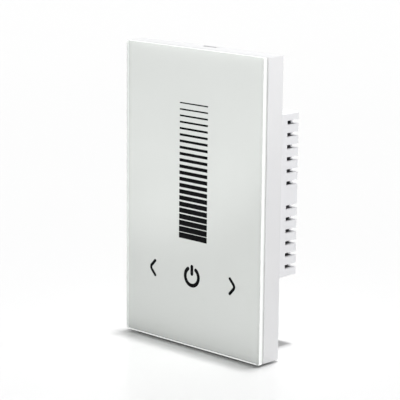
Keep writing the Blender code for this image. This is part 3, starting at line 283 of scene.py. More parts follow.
def colour_by(tree, mask, low, high):
    """Return the colour that a mask picks between two, the first of them plain or linked."""
    first = low if hasattr(low, "is_output") else (*low, 1.0)
    return put(tree, "ShaderNodeMix", {0: mask, 6: first, 7: (*high, 1.0)},
               data_type="RGBA").outputs[2]


def new_tree(name, kind, inputs, outputs, output_kind="NodeSocketFloat"):
    """Start a node tree with named inputs, each with its value, and named outputs."""
    tree = bpy.data.node_groups.new(name, kind)
    for label, value in inputs.items():
        number = "NodeSocketInt" if isinstance(value, int) else "NodeSocketFloat"
        socket = tree.interface.new_socket(name=label, in_out="INPUT", socket_type=number)
        socket.default_value = value
    for label in outputs:
        tree.interface.new_socket(name=label, in_out="OUTPUT", socket_type=output_kind)
    return tree, tree.nodes.new("NodeGroupInput").outputs, tree.nodes.new("NodeGroupOutput")


# Shader groups
def make_moulding_group():
    """Moulded plastic: slow drift of tone, and a fine grain left by the mould."""
    tree, given, result = new_tree("moulded_surface", "ShaderNodeTree",
                                   {"Grain Scale": 4000.0, "Drift Scale": 60.0},
                                   ("Tone", "Height"))
    place = object_spot(tree)
    drift = noise(tree, place, given["Drift Scale"], 2.0)
    grain = noise(tree, place, given["Grain Scale"], 2.0)
    cloud = reckon(tree, "MULTIPLY_ADD", grain, 0.25, times(tree, drift, 0.75))
    feed(result, Tone=cloud, Height=grain)
    return tree


def make_rolled_group():
    """Rolled or drawn metal: fine lines along one direction, and dull patches."""
    tree, given, result = new_tree("rolled_metal", "ShaderNodeTree",
                                   {"Across": 9000.0, "Along": 400.0, "Patches": 350.0},
                                   ("Tone", "Patch", "Height"))
    place = object_spot(tree)
    stretch = vector_from(tree, given["Along"], given["Across"], given["Across"])
    lines = noise(tree, vector_of(tree, "MULTIPLY", place, stretch), 1.0, 2.0)
    patch = noise(tree, place, given["Patches"], 4.0, 0.6)
    tone = reckon(tree, "MULTIPLY_ADD", lines, 0.6, times(tree, patch, 0.4))
    feed(result, Tone=tone, Patch=patch, Height=lines)
    return tree


def make_track_group():
    """Circuit board: tracks that turn from cell to cell, and round pads."""
    upright_from, bare_from, pads_from, hole_share = 0.45, 0.86, 0.8, 0.45
    tree, given, result = new_tree("board_tracks", "ShaderNodeTree",
                                   {"Cell Count": 420.0, "Track Width": 0.16,
                                    "Pad Radius": 0.27},
                                   ("Track", "Pad", "Height"))
    scaled = put(tree, "ShaderNodeVectorMath",
                 {0: object_spot(tree), "Scale": given["Cell Count"]},
                 operation="SCALE").outputs[0]
    cell = vector_of(tree, "MULTIPLY", vector_of(tree, "FLOOR", scaled), (1.0, 0.0, 1.0))
    dice = put(tree, "ShaderNodeTexWhiteNoise", {"Vector": cell},
               noise_dimensions="3D").outputs["Value"]
    inside = axes_of(tree, vector_of(tree, "FRACTION", scaled))
    off_x, off_z = (reckon(tree, "ABSOLUTE", reckon(tree, "SUBTRACT", inside[axis], 0.5))
                    for axis in "XZ")
    half = times(tree, given["Track Width"], 0.5)
    upright = reckon(tree, "LESS_THAN", off_x, half)
    level = reckon(tree, "LESS_THAN", off_z, half)
    chosen = reckon(tree, "GREATER_THAN", dice, upright_from)
    kept = reckon(tree, "LESS_THAN", dice, bare_from)
    either = reckon(tree, "ADD", times(tree, upright, chosen),
                    times(tree, level, rest_of(tree, chosen)))
    track = reckon(tree, "MULTIPLY", either, kept, clamp=True)
    reach = reckon(tree, "SQRT", reckon(tree, "ADD", times(tree, off_x, off_x),
                                        times(tree, off_z, off_z)))
    pad = times(tree, reckon(tree, "LESS_THAN", reach, given["Pad Radius"]),
                reckon(tree, "GREATER_THAN", dice, pads_from))
    hole = reckon(tree, "LESS_THAN", reach, times(tree, given["Pad Radius"], hole_share))
    feed(result, Track=track, Pad=times(tree, pad, rest_of(tree, hole)),
         Height=reckon(tree, "MAXIMUM", track, pad))
    return tree


MOULDED = make_moulding_group()
ROLLED = make_rolled_group()
TRACKS = make_track_group()


# Materials
def start_material(name, roughness, **fixed):
    """Start a material and set the plain values of its shader."""
    material = bpy.data.materials.new(name)
    material.use_nodes = True
    tree = material.node_tree
    shader = tree.nodes["Principled BSDF"]
    shader.inputs["Roughness"].default_value = roughness
    for label, value in fixed.items():
        shader.inputs[label.replace("_", " ")].default_value = value
    return material, tree, shader


def use_group(tree, group, **values):
    """Place a shader group in a material with its own values."""
    node = tree.nodes.new("ShaderNodeGroup")
    node.node_tree = group
    for label, value in values.items():
        node.inputs[label.replace("_", " ")].default_value = value
    return node.outputs


def add_bump(tree, shader, height, depth):
    """Give a shader a bump of that depth."""
    links = {"Strength": 0.5, "Distance": depth, "Height": height}
    feed(shader, Normal=put(tree, "ShaderNodeBump", links).outputs["Normal"])


def finished(name, group, values, dulled_by, colours, roughness, depth, fixed):
    """A material whose colour, dullness and bump come from a shader group."""
    material, tree, shader = start_material(name, roughness[0], **fixed)
    effect = use_group(tree, group, **values)
    feed(shader, Base_Color=colour_by(tree, spread(tree, effect["Tone"], 0.0, 1.0), *colours),
         Roughness=spread(tree, effect[dulled_by], *roughness))
    add_bump(tree, shader, effect["Height"], depth)
    return material


def moulded(name, low, high, roughness, depth, grain, drift, **fixed):
    """Moulded plastic between two close colours."""
    return finished(name, MOULDED, {"Grain_Scale": grain, "Drift_Scale": drift}, "Tone",
                    (low, high), roughness, depth, fixed)


def metal(name, low, high, roughness, depth, across, along, patches=350.0, **fixed):
    """Rolled or drawn metal between two close colours."""
    return finished(name, ROLLED, {"Across": across, "Along": along, "Patches": patches},
                    "Patch", (low, high), roughness, depth, {"Metallic": 1.0, **fixed})


def tint_where(material, mask, colour):
    """Blend a material's own colour into another where a mask is one."""
    tree = material.node_tree
    base = tree.nodes["Principled BSDF"].inputs["Base Color"]
    tree.links.new(colour_by(tree, mask, base.links[0].from_socket, colour), base)
    return material


def board_material():
    """Green lacquered board, its tracks under the lacquer and its pads tinned."""
    material, tree, shader = start_material("board_lacquer", 0.35)
    board = use_group(tree, TRACKS)
    coat = use_group(tree, MOULDED, Grain_Scale=2500.0, Drift_Scale=90.0)
    lacquer = colour_by(tree, spread(tree, coat["Tone"], 0.0, 1.0),
                        (0.012, 0.115, 0.045), (0.018, 0.150, 0.062))
    over_track = colour_by(tree, board["Track"], lacquer, (0.045, 0.245, 0.085))
    feed(shader, Base_Color=colour_by(tree, board["Pad"], over_track, (0.62, 0.61, 0.57)),
         Metallic=board["Pad"])
    add_bump(tree, shader, board["Height"], 0.04 * MM)
    return material


def glass_material(name, low, high):
    """Polished glass that lets light through to the print behind it."""
    material, tree, shader = start_material(name, 0.02, IOR=GLASS_IOR,
                                            Transmission_Weight=1.0)
    polish = use_group(tree, MOULDED, Grain_Scale=300.0, Drift_Scale=40.0)
    feed(shader, Base_Color=colour_by(tree, polish["Tone"], low, high),
         Roughness=spread(tree, polish["Tone"], 0.012, 0.03))
    rays = tree.nodes.new("ShaderNodeLightPath").outputs
    passing = reckon(tree, "MAXIMUM", rays["Is Shadow Ray"], rays["Is Diffuse Ray"])
    clear = put(tree, "ShaderNodeBsdfTransparent", {"Color": (0.97, 0.985, 0.975, 1.0)})
    mixed = put(tree, "ShaderNodeMixShader", {0: passing, 1: shader.outputs[0],
                                              2: clear.outputs[0]})
    feed(tree.nodes["Material Output"], Surface=mixed.outputs[0])
    return material


def edge_material():
    """Ground edge of the glass: frosted, with a painted glow, strongest near the bottom, hidden
    from diffuse rays.
    """
    material = moulded("ground_edge", (0.83, 0.845, 0.835), (0.87, 0.88, 0.87), (0.5, 0.62),
                       0.01 * MM, 9000.0, 500.0, Specular_IOR_Level=0.2,
                       Emission_Strength=1.0)
    tree = material.node_tree
    height = axes_of(tree, object_spot(tree))["Z"]
    above = spread(tree, height, *PAINTED_GLOW_LEVELS, *PAINTED_GLOW_FALL)
    below = spread(tree, height, 0.0, 1.0, *PAINTED_GLOW_START)
    cast = tree.nodes.new("ShaderNodeLightPath").outputs["Is Diffuse Ray"]
    # painted glow: emission on the edge, stronger near the bottom, hidden from diffuse rays
    painted_glow = times(tree, above, below, rest_of(tree, cast))
    feed(tree.nodes["Principled BSDF"],
         Emission_Color=colour_by(tree, painted_glow, (0.0, 0.0, 0.0), (0.97, 1.0, 0.985)))
    return material


def field_material():
    """Pale ink behind the glass, with painted shade that greys it a little towards the top."""
    material = moulded("field_ink", (0.725, 0.733, 0.721), (0.740, 0.747, 0.736), (0.5, 0.55),
                       0.002 * MM, 5000.0, 35.0, Specular_IOR_Level=0.1)
    tree = material.node_tree
    # painted shade: the ink greys towards the top
    painted_top_shade = spread(tree, axes_of(tree, object_spot(tree))["Z"], 0.0, 1.0, *FIELD_SHADE_FADE)
    return tint_where(material, painted_top_shade, (0.685, 0.692, 0.682))


def box_material():
    """White box plastic, with painted shade darkening its inside."""
    material = moulded("box_white", (0.88, 0.88, 0.90), (0.895, 0.895, 0.915), (0.42, 0.5),
                       0.02 * MM, 3000.0, 55.0)
    tree = material.node_tree
    low, high = (Vector(corner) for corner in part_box("rear_housing"))
    half = (high - low) / 2
    offset = vector_of(tree, "SUBTRACT", object_spot(tree), tuple((low + high) / 2))
    reach = axes_of(tree, vector_of(tree, "ABSOLUTE", offset))
    walls = ((reach["X"], half.x), (reach["Z"], half.z), (axes_of(tree, offset)["Y"], half.y))
    # painted shade: faces deeper in than the wall take the darker colour
    inside = times(tree, *(spread(tree, distance, 1.0, 0.0, *(wall - skin for skin in BOX_SHADE_DEPTHS))
                           for distance, wall in walls))
    return tint_where(material, inside, (0.30, 0.30, 0.32))


def ferrite_material():
    """Matt grey ferrite with a mineral speckle."""
    material, tree, shader = start_material("ferrite_grey", 0.62)
    place, scale = object_spot(tree), 7000.0
    cells = put(tree, "ShaderNodeTexVoronoi", {"Vector": place, "Scale": scale}).outputs[0]
    grains = reckon(tree, "MULTIPLY_ADD", noise(tree, place, scale * 0.4, 4.0), 0.6,
                    times(tree, cells, 0.5))
    feed(shader, Base_Color=colour_by(tree, spread(tree, grains, 0.0, 1.0, 0.35, 0.75),
                                      (0.030, 0.030, 0.033), (0.075, 0.074, 0.078)))
    add_bump(tree, shader, grains, 0.02 * MM)
    return material


def sleeve_material():
    """Dark shrunk sleeve of a capacitor, with the pale stripe of its negative side."""
    material, tree, shader = start_material("capacitor_sleeve", 0.28)
    film = use_group(tree, MOULDED, Grain_Scale=1500.0, Drift_Scale=200.0)
    dark = colour_by(tree, spread(tree, film["Tone"], 0.0, 1.0),
                     (0.018, 0.022, 0.045), (0.028, 0.034, 0.062))
    place = axes_of(tree, object_spot(tree))
    stripe = reckon(tree, "GREATER_THAN", reckon(tree, "ABSOLUTE", place["X"]), STRIPE_SIDE)
    dash = reckon(tree, "LESS_THAN",
                  reckon(tree, "FRACT", times(tree, place["Y"], DASH_RATE)), DASH_SHARE)
    off_middle = reckon(tree, "ABSOLUTE", reckon(tree, "SUBTRACT", place["Z"], DASH_HEIGHT))
    middle = reckon(tree, "LESS_THAN", off_middle, DASH_HALF)
    mark = times(tree, stripe, rest_of(tree, times(tree, dash, middle)))
    feed(shader, Base_Color=colour_by(tree, mark, dark, (0.48, 0.50, 0.52)))
    add_bump(tree, shader, film["Height"], 0.01 * MM)
    return material


def floor_material():
    """Pale, faintly glossy sheet."""
    material, tree, shader = start_material("floor_sheet", FLOOR_ROUGHNESS, IOR=FLOOR_IOR)
    sheet = use_group(tree, MOULDED, Grain_Scale=40.0, Drift_Scale=3.0)
    feed(shader, Base_Color=colour_by(tree, sheet["Tone"], (0.93, 0.93, 0.93),
                                      (0.94, 0.94, 0.94)))
    return material


# Plastics, inks and glass: two colours, range of roughness, bump depth, grain, drift
GLASS = glass_material("polished_glass", (0.980, 0.988, 0.981), (0.986, 0.992, 0.986))
# a darker copy of the glass: painted shade for the right side of the front chamfer
SHADED_BEVEL_GLASS = glass_material("shaded_bevel_glass", (0.855, 0.868, 0.86), (0.87, 0.88, 0.872))
GROUND_EDGE = edge_material()
FIELD_INK = field_material()
BLACK_INK = moulded("black_ink", (0.003, 0.003, 0.0035), (0.006, 0.006, 0.007), (0.42, 0.5),
                    0.002 * MM, 5000.0, 120.0, Specular_IOR_Level=0.05)
FRAME_WHITE = moulded("frame_white", (0.735, 0.735, 0.745), (0.755, 0.755, 0.763),
                      (0.50, 0.58), 0.006 * MM, 3500.0, 45.0, Specular_IOR_Level=0.05)
BOX_WHITE = box_material()
CHIP_BLACK = moulded("chip_black", (0.011, 0.011, 0.012), (0.020, 0.020, 0.022), (0.5, 0.6),
                     0.01 * MM, 7000.0, 700.0)
LINK_BLACK = moulded("link_black", (0.012, 0.012, 0.013), (0.022, 0.022, 0.024),
                     (0.36, 0.46), 0.008 * MM, 5000.0, 400.0)
TERMINAL_BLACK = moulded("terminal_black", (0.014, 0.014, 0.016), (0.026, 0.026, 0.029),
                         (0.34, 0.44), 0.012 * MM, 4200.0, 260.0)
LAMP_RESIN = moulded("lamp_resin", (0.86, 0.89, 0.93), (0.9, 0.93, 0.96), (0.08, 0.14),
                     0.001 * MM, 2000.0, 400.0, IOR=1.52, Transmission_Weight=0.7)
BOARD_GREEN = board_material()
FERRITE = ferrite_material()
SLEEVE = sleeve_material()

# Metals: two colours, range of roughness, bump depth, lines across and along, patches
SPRING_WIRE_STEEL = metal("spring_wire", (0.56, 0.56, 0.55), (0.68, 0.68, 0.66),
                          (0.22, 0.36), 0.004 * MM, 6000.0, 900.0)
ZINC = metal("zinc_plate", (0.60, 0.61, 0.635), (0.70, 0.71, 0.73), (0.28, 0.44), 0.004 * MM,
             2600.0, 500.0, 500.0)
SHEET_STEEL = metal("sheet_steel", (0.60, 0.605, 0.62), (0.69, 0.695, 0.71), (0.30, 0.46),
                    0.005 * MM, 7000.0, 160.0, 130.0)
CLIP_STEEL = metal("clip_strip", (0.52, 0.51, 0.49), (0.62, 0.61, 0.59), (0.26, 0.4),
                   0.004 * MM, 8000.0, 500.0)
SCREW_NICKEL = metal("screw_nickel", (0.64, 0.63, 0.60), (0.73, 0.72, 0.69), (0.22, 0.36),
                     0.003 * MM, 5000.0, 5000.0)
# a dark copy of the screw metal: painted shade inside screw recesses and slots
RECESS_SHADE = metal("painted_recess_shade", (0.14, 0.14, 0.15), (0.20, 0.20, 0.21), (0.5, 0.62),
               0.005 * MM, 5000.0, 5000.0)
TIN_BRASS = metal("tinned_strip", (0.66, 0.62, 0.50), (0.76, 0.73, 0.64), (0.28, 0.42),
                  0.004 * MM, 5200.0, 420.0)
COPPER = metal("coil_copper", (0.62, 0.24, 0.10), (0.74, 0.32, 0.15), (0.2, 0.34),
               0.004 * MM, 3000.0, 3000.0, Coat_Weight=0.6, Coat_Roughness=0.12)
CAN_METAL = metal("can_top", (0.62, 0.63, 0.64), (0.72, 0.73, 0.74), (0.3, 0.42),
                  0.005 * MM, 3500.0, 3500.0)
BLACK_FINS = metal("black_fins", (0.018, 0.018, 0.021), (0.034, 0.034, 0.038), (0.34, 0.46),
                   0.008 * MM, 5200.0, 5200.0)


# Mesh helpers
def stand(name, data):
    """Make an object and put it in the scene."""
    thing = bpy.data.objects.new(name, data)
    bpy.context.scene.collection.objects.link(thing)
    return thing


def smooth(mesh, sharp_angle):
    """Shade a mesh smooth but for its sharp edges."""
    mesh.shade_smooth()
    mesh.set_sharp_from_angle(angle=math.radians(sharp_angle))


def mesh_from(shape, name, materials, sharp_angle):
    """Make a shaded mesh object of a bmesh."""
    mesh = bpy.data.meshes.new(name)
    shape.to_mesh(mesh)
    shape.free()
    for material in materials:
        mesh.materials.append(material)
    smooth(mesh, sharp_angle)
    return stand(name, mesh)


def piece_from(shape, name, materials, sharp_angle=SHARP):
    """Make a piece of a bmesh, its faces turned outwards."""
    bmesh.ops.recalc_face_normals(shape, faces=shape.faces)
    return mesh_from(shape, name, materials, sharp_angle)


def bake_modifiers(piece):
    """Turn a piece and its modifiers into a plain mesh."""
    bpy.context.view_layer.update()
    evaluated = piece.evaluated_get(bpy.context.evaluated_depsgraph_get())
    mesh = bpy.data.meshes.new_from_object(evaluated)
    mesh.name = piece.name
    piece.modifiers.clear()
    piece.data = mesh


def hand_over(piece, body, slot, *nodes):
    """Let a finished piece ride on its body and stand for its nodes."""
    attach(piece, body)
    if nodes:
        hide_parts(*nodes)


def prism(shape, points, front, back):
    """Add a closed upright prism: an outline in X and Z between two depths."""
    near = [shape.verts.new((x, front, z)) for x, z in points]
    far = [shape.verts.new((x, back, z)) for x, z in points]
    shape.faces.new(near)
    shape.faces.new(list(reversed(far)))
    for index, vert in enumerate(near):
        after = (index + 1) % len(near)
        shape.faces.new((near[after], vert, far[index], far[after]))


def pane_outline(half_x, half_z, middle_z):
    """Return the points round a rectangle with the pane's rounded corners."""
    points = []
    for quarter, (sx, sz) in enumerate(((1, 1), (-1, 1), (-1, -1), (1, -1))):
        for step in range(PANE_STEPS + 1):
            angle = math.pi / 2 * (quarter + step / PANE_STEPS)
            points.append((sx * (half_x - PANE_CORNER) + PANE_CORNER * math.cos(angle),
                           middle_z + sz * (half_z - PANE_CORNER)
                           + PANE_CORNER * math.sin(angle)))
    return points


def turned_piece(name, outline, place, materials, steps=ROUND_STEPS, top_rings=0):
    """Turn (radius, height) points about a matrix's Z axis; the top rings get material 1."""
    shape = bmesh.new()
    rings = []
    for radius, height in outline:
        if radius < 1e-7:
            rings.append([shape.verts.new(place @ Vector((0.0, 0.0, height)))])
            continue
        rings.append([shape.verts.new(place @ Vector((
            radius * math.cos(2 * math.pi * step / steps),
            radius * math.sin(2 * math.pi * step / steps), height))) for step in range(steps)])
    for number, (upper, lower) in enumerate(zip(rings, rings[1:])):
        for step in range(steps):
            after = (step + 1) % steps
            corners = []
            for ring, index in ((upper, step), (upper, after), (lower, after), (lower, step)):
                vert = ring[index % len(ring)]
                if vert not in corners:
                    corners.append(vert)
            if len(corners) > 2:
                shape.faces.new(corners).material_index = int(number < top_rings)
    return piece_from(shape, name, materials)


def axis_at(box, depth, turn):
    """Return the matrix of an axis through the middle of a box, starting at that depth."""
    low, high = box
    return Matrix.Translation(((low.x + high.x) / 2, depth, (low.z + high.z) / 2)) @ turn


def along(height):
    """Return a move along the Z axis."""
    return Matrix.Translation((0.0, 0.0, height))


def dress(node, name, body, slot, material, rounding):
    """Hand over a copy of a node's solid, with clean faces and softly broken edges."""
    shape = bmesh.new()
    shape.from_mesh(NODES[node].data)
    bmesh.ops.remove_doubles(shape, verts=shape.verts, dist=MERGED_WITHIN)
    bmesh.ops.dissolve_limit(shape, angle_limit=math.radians(FLAT_WITHIN), verts=shape.verts,
                             edges=shape.edges)
    for face in shape.faces:
        face.material_index = 0
    piece = mesh_from(shape, name, [material], SHARP)
    soften = piece.modifiers.new("soften", "BEVEL")
    soften.width = rounding
    soften.segments = 2
    soften.limit_method = "ANGLE"
    soften.angle_limit = math.radians(SHARP)
    soften.harden_normals = True
    bake_modifiers(piece)
    hand_over(piece, body, slot, node)


def cut_away(piece, blocks):
    """Cut boxes out of a piece, each a matrix and half sizes, in its last material."""
    tools = []
    for place, half in blocks:
        shape = bmesh.new()
        bmesh.ops.create_cube(shape, size=2.0, matrix=place @ Matrix.Diagonal((*half, 1.0)))
        for face in shape.faces:
            face.material_index = len(piece.data.materials) - 1
        tool = piece_from(shape, "cutter", list(piece.data.materials))
        step = piece.modifiers.new("cut", "BOOLEAN")
        step.operation = "DIFFERENCE"
        step.solver = "EXACT"
        step.object = tool
        tools.append(tool)
    bake_modifiers(piece)
    for tool in tools:
        bpy.data.objects.remove(tool, do_unlink=True)
    smooth(piece.data, SHARP_AFTER_CUTS)


def joined(name, *pieces):
    """Join finished meshes into the first piece."""
    shape = bmesh.new()
    for piece in pieces:
        shape.from_mesh(piece.data)
    whole = pieces[0]
    shape.to_mesh(whole.data)
    shape.free()
    for piece in pieces[1:]:
        bpy.data.objects.remove(piece, do_unlink=True)
    whole.name = name
    whole.data.set_sharp_from_angle(angle=math.radians(SHARP_AFTER_CUTS))
    return whole


# Geometry trees
def new_geometry(name, sizes):
    """Start a Geometry Nodes tree with named inputs for its sizes."""
    return new_tree(name, "GeometryNodeTree", sizes, ("Geometry",), "NodeSocketGeometry")


def end_tree(tree, result, shape, material):
    """End a tree in Realize Instances and Set Material."""
    real = put(tree, "GeometryNodeRealizeInstances", {0: shape})
    coated = put(tree, "GeometryNodeSetMaterial", {"Geometry": real.outputs[0],
                                                   "Material": material})
    feed(result, Geometry=coated.outputs[0])
    return tree


def grow(tree, name, sizes, place):
    """Run a tree with its sizes and return the plain mesh as a piece in place."""
    piece = stand(name, bpy.data.meshes.new(name))
    run = piece.modifiers.new("grow", "NODES")
    run.node_group = tree
    for item in tree.interface.items_tree:
        if item.in_out == "INPUT" and item.name in sizes:
            run[item.identifier] = sizes[item.name]
    bake_modifiers(piece)
    piece.data.transform(place)
    return piece


def spiral(tree, given, radius, turns, height):
    """Return a curve wound about the Z axis."""
    return put(tree, "GeometryNodeCurveSpiral", {
        "Resolution": given["Steps"], "Rotations": turns, "Start Radius": radius,
        "End Radius": radius, "Height": height}).outputs[0]


def swept(tree, curve, sides, radius):
    """Return a round bar bent along a curve, with closed ends."""
    round_bar = put(tree, "GeometryNodeCurvePrimitiveCircle", {"Resolution": sides,
                                                               "Radius": radius})
    return put(tree, "GeometryNodeCurveToMesh", {"Curve": curve, "Fill Caps": True,
                                                 "Profile Curve": round_bar.outputs[0]}).outputs[0]


def bar_tree():
    """A ladder of flat bars that grow from thin to thick."""
    tree, given, result = new_geometry("level_bars", BAR_SIZES)
    step = vector_from(tree, z=times(tree, given["Pitch"], -1.0))
    line = put(tree, "GeometryNodeMeshLine", {"Count": given["Bar Count"], "Offset": step},
               mode="OFFSET")
    last = reckon(tree, "SUBTRACT", given["Bar Count"], 1.0)
    index = tree.nodes.new("GeometryNodeInputIndex").outputs[0]
    height = spread(tree, index, given["Thin"], given["Thick"], 0.0, last)
    cube = tree.nodes.new("GeometryNodeMeshCube")
    bars = put(tree, "GeometryNodeInstanceOnPoints", {
        "Points": line.outputs[0], "Instance": cube.outputs[0],
        "Scale": vector_from(tree, given["Width"], given["Depth"], height)})
    return end_tree(tree, result, bars.outputs[0], BLACK_INK)


def coil_tree(name, material, closed_ends):
    """A round wire wound into a coil along Z, with closed ends if it is a spring."""
    tree, given, result = new_geometry(name, {
        "Radius": 3.0 * MM, "Height": 3.0 * MM, "Turns": 5.0, "Wire Radius": SPRING_WIRE,
        "Steps": 28, "Sides": 10})
    shape = spiral(tree, given, given["Radius"], given["Turns"], given["Height"])
    if closed_ends:
        way = tree.nodes.new("GeometryNodeSplineParameter").outputs["Factor"]
        eased = spread(tree, way, 0.0, 1.0, 0.06, 0.94, "SMOOTHSTEP")
        mixed = reckon(tree, "MULTIPLY_ADD", eased, 0.55, times(tree, way, 0.45))
        spot = axes_of(tree, tree.nodes.new("GeometryNodeInputPosition").outputs[0])
        moved = vector_from(tree, spot["X"], spot["Y"], times(tree, mixed, given["Height"]))
        shape = put(tree, "GeometryNodeSetPosition", {"Geometry": shape,
                                                      "Position": moved}).outputs[0]
    wire = swept(tree, shape, given["Sides"], given["Wire Radius"])
    soft = put(tree, "GeometryNodeSetShadeSmooth", {"Geometry": wire})
    return end_tree(tree, result, soft.outputs[0], material)


def thread_tree():
    """The ridge of a screw's thread, wound down its shank from z = 0."""
    tree, given, result = new_geometry("screw_thread", {
        "Shank Radius": SCREW_SHANK, "Length": 6.0 * MM, "Pitch": THREAD_PITCH,
        "Ridge": THREAD_RIDGE, "Steps": 20})
    turns = reckon(tree, "DIVIDE", given["Length"], given["Pitch"])
    coil = spiral(tree, given, given["Shank Radius"], turns, times(tree, given["Length"], -1.0))
    return end_tree(tree, result, swept(tree, coil, 4, given["Ridge"]), ZINC)


BARS = bar_tree()
TOUCH_COIL = coil_tree("touch_spring", SPRING_WIRE_STEEL, True)
CHOKE_COIL = coil_tree("choke_turns", COPPER, False)
THREAD = thread_tree()


# Glass and print
def make_pane():
    """The glass pane: polished front and back, ground sides, arris and front chamfer, and painted
    shade on the chamfer's right side, a darker copy of the glass.
    """
    low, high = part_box("glass_panel")
    half_x, half_z = (high.x - low.x) / 2, (high.z - low.z) / 2
    back = low.y + PANE_DEPTH
    shape = bmesh.new()
    loops = []
    for inset, y in ((PANE_CHAMFER, low.y), (0.0, low.y + PANE_CHAMFER),
                     (0.0, back - PANE_ARRIS), (PANE_ARRIS, back)):
        outline = pane_outline(half_x - inset, half_z - inset, (high.z + low.z) / 2)
        loops.append([shape.verts.new((x, y, z)) for x, z in outline])
    shape.faces.new(loops[0])
    shape.faces.new(list(reversed(loops[-1])))
    for level, (near, far) in enumerate(zip(loops, loops[1:])):
        for index in range(len(near)):
            after = (index + 1) % len(near)
            side = shape.faces.new((near[index], near[after], far[after], far[index]))
            # the right side of the front chamfer takes the darker glass: painted shade
            shaded_bevel = level == 0 and near[index].co.x > half_x - 2 * PANE_CHAMFER
            side.material_index = 2 if shaded_bevel else 1
    pane = piece_from(shape, "glass_pane", [GLASS, GROUND_EDGE, SHADED_BEVEL_GLASS], SHARP_ON_PANE)
    hand_over(pane, "front_panel", "pane", "glass_panel")


def stroke(shape, path, width, front, back):
    """Add a flat stroke of even width along a path, with round ends."""
    half = width / 2
    left, right = [], []
    for index, (x, z) in enumerate(path):
        before = path[max(index - 1, 0)]
        after = path[min(index + 1, len(path) - 1)]
        way = Vector((after[0] - before[0], after[1] - before[1])).normalized()
        left.append((x - way.y * half, z + way.x * half))
        right.append((x + way.y * half, z - way.x * half))
    ends = []
    for (x, z), (other_x, other_z) in ((path[-1], path[-2]), (path[0], path[1])):
        out = math.atan2(z - other_z, x - other_x)
        ends.append([(x + half * math.cos(out + turn), z + half * math.sin(out + turn))
                     for turn in (math.pi / 2 - math.pi * step / ROUND_END_STEPS
                                  for step in range(1, ROUND_END_STEPS))])
    prism(shape, left + ends[0] + list(reversed(right)) + ends[1], front, back)


def bend(corner, arm_a, arm_b, radius, steps=6):
    """Return points of a rounded corner between two arms."""
    corner = Vector(corner)
    to_a = (Vector(arm_a) - corner).normalized()
    to_b = (Vector(arm_b) - corner).normalized()
    half = to_a.angle(to_b) / 2
    middle = corner + (to_a + to_b).normalized() * radius / math.sin(half)
    reach = radius / math.tan(half)
    start = (corner + to_a * reach - middle)
    stop = (corner + to_b * reach - middle)
    turn = start.angle_signed(stop)
    angles = [math.atan2(start.y, start.x) - turn * step / steps for step in range(steps + 1)]
    return [(middle.x + radius * math.cos(angle), middle.y + radius * math.sin(angle))
            for angle in angles]


def make_print():
    """The pale backing bonded behind the glass, and the black marks before it."""
    low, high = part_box("glass_panel")
    middle = (high.z + low.z) / 2
    front = low.y + PANE_DEPTH - PRINT_SPACE
    mark_back = front - PRINT_SPACE
    mark_front = mark_back - PRINT_DEPTH
    shape = bmesh.new()
    prism(shape, pane_outline((high.x - low.x) / 2 - FIELD_INSET,
                              (high.z - low.z) / 2 - FIELD_INSET, middle),
          front, high.y - PRINT_SPACE)
    hand_over(piece_from(shape, "print_field", [FIELD_INK]), "front_panel", "pane")
    bars_at = Matrix.Translation((0.0, (mark_front + mark_back) / 2, middle + BAR_TOP))
    hand_over(grow(BARS, "level_bars", BAR_SIZES, bars_at), "front_panel", "pane")
    mark_z = middle - MARK_DROP
    for name, side in (("left_arrow", -1), ("right_arrow", 1)):
        tip = (MARK_SHIFT + side * (ARROW_SIDE + ARROW_WIDTH / 2), mark_z)
        blunt = MARK_SHIFT + side * (ARROW_SIDE - ARROW_WIDTH / 2)
        upper = (blunt, mark_z + ARROW_HEIGHT / 2)
        lower = (blunt, mark_z - ARROW_HEIGHT / 2)
        shape = bmesh.new()
        path = [upper, *bend(tip, upper, lower, ARROW_BEND), lower]
        stroke(shape, path, ARROW_STROKE, mark_front, mark_back)
        hand_over(piece_from(shape, name, [BLACK_INK]), "front_panel", "pane")
    shape = bmesh.new()
    gap = math.radians(RING_GAP)
    sweep = 2 * math.pi - 2 * gap
    ring = [(MARK_SHIFT + RING_RADIUS * math.sin(gap + sweep * step / RING_STEPS),
             mark_z + RING_RADIUS * math.cos(gap + sweep * step / RING_STEPS))
            for step in range(RING_STEPS + 1)]
    for path in (ring, [(MARK_SHIFT, mark_z + height) for height in POWER_BAR]):
        stroke(shape, path, RING_STROKE, mark_front, mark_back)
    hand_over(piece_from(shape, "power_mark", [BLACK_INK]), "front_panel", "pane")


# Frame, box, terminal block, plate and sink
def make_mouldings():
    """The large moulded and pressed pieces, and the lip of the frame's notch."""
    dress("front_frame", "white_frame", "front_panel", "frame_plastic", FRAME_WHITE, 0.12 * MM)
    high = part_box("front_frame")[1]
    side, top, bottom = NOTCH_WIDTH / 2, high.z - NOTCH_DROP, high.z - FRAME_WALL
    shape = bmesh.new()
    prism(shape, [(-side, bottom), (side, bottom), (side, top), (-side, top)],
          high.y - NOTCH_LIP, high.y - NOTCH_DROP)
    hand_over(piece_from(shape, "notch_lip", [FRAME_WHITE]), "front_panel", "frame_plastic")
    dress("rear_housing", "vented_box", "base", "box_plastic", BOX_WHITE, 0.15 * MM)
    dress("terminal_block", "terminal_body", "base", "terminal_plastic", TERMINAL_BLACK,
          0.12 * MM)
    dress("mounting_plate", "steel_plate", "base", "plate_steel", SHEET_STEEL, 0.15 * MM)
    dress("heat_sink", "finned_sink", "base", "black_aluminium", BLACK_FINS, 0.2 * MM)


# Small parts
def screw_outline(length):
    """Outline of a pan-head screw, its head's underside at z = 0."""
    radius, height = SCREW_HEAD
    outline = [(0.0, height)]
    for step in range(1, HEAD_STEPS):
        angle = math.pi / 2 * step / HEAD_STEPS
        outline.append((radius * (HEAD_EDGE + (1 - HEAD_EDGE) * math.sin(angle)),
                        height * (HEAD_EDGE + (1 - HEAD_EDGE) * math.cos(angle))))
    outline += [(radius, HEAD_EDGE * height), (radius, 0.05 * height), (radius - 0.05 * MM, 0.0),
                (SCREW_SHANK, 0.0), (SCREW_SHANK, 0.9 * MM - length), (0.0, -length)]
    return outline


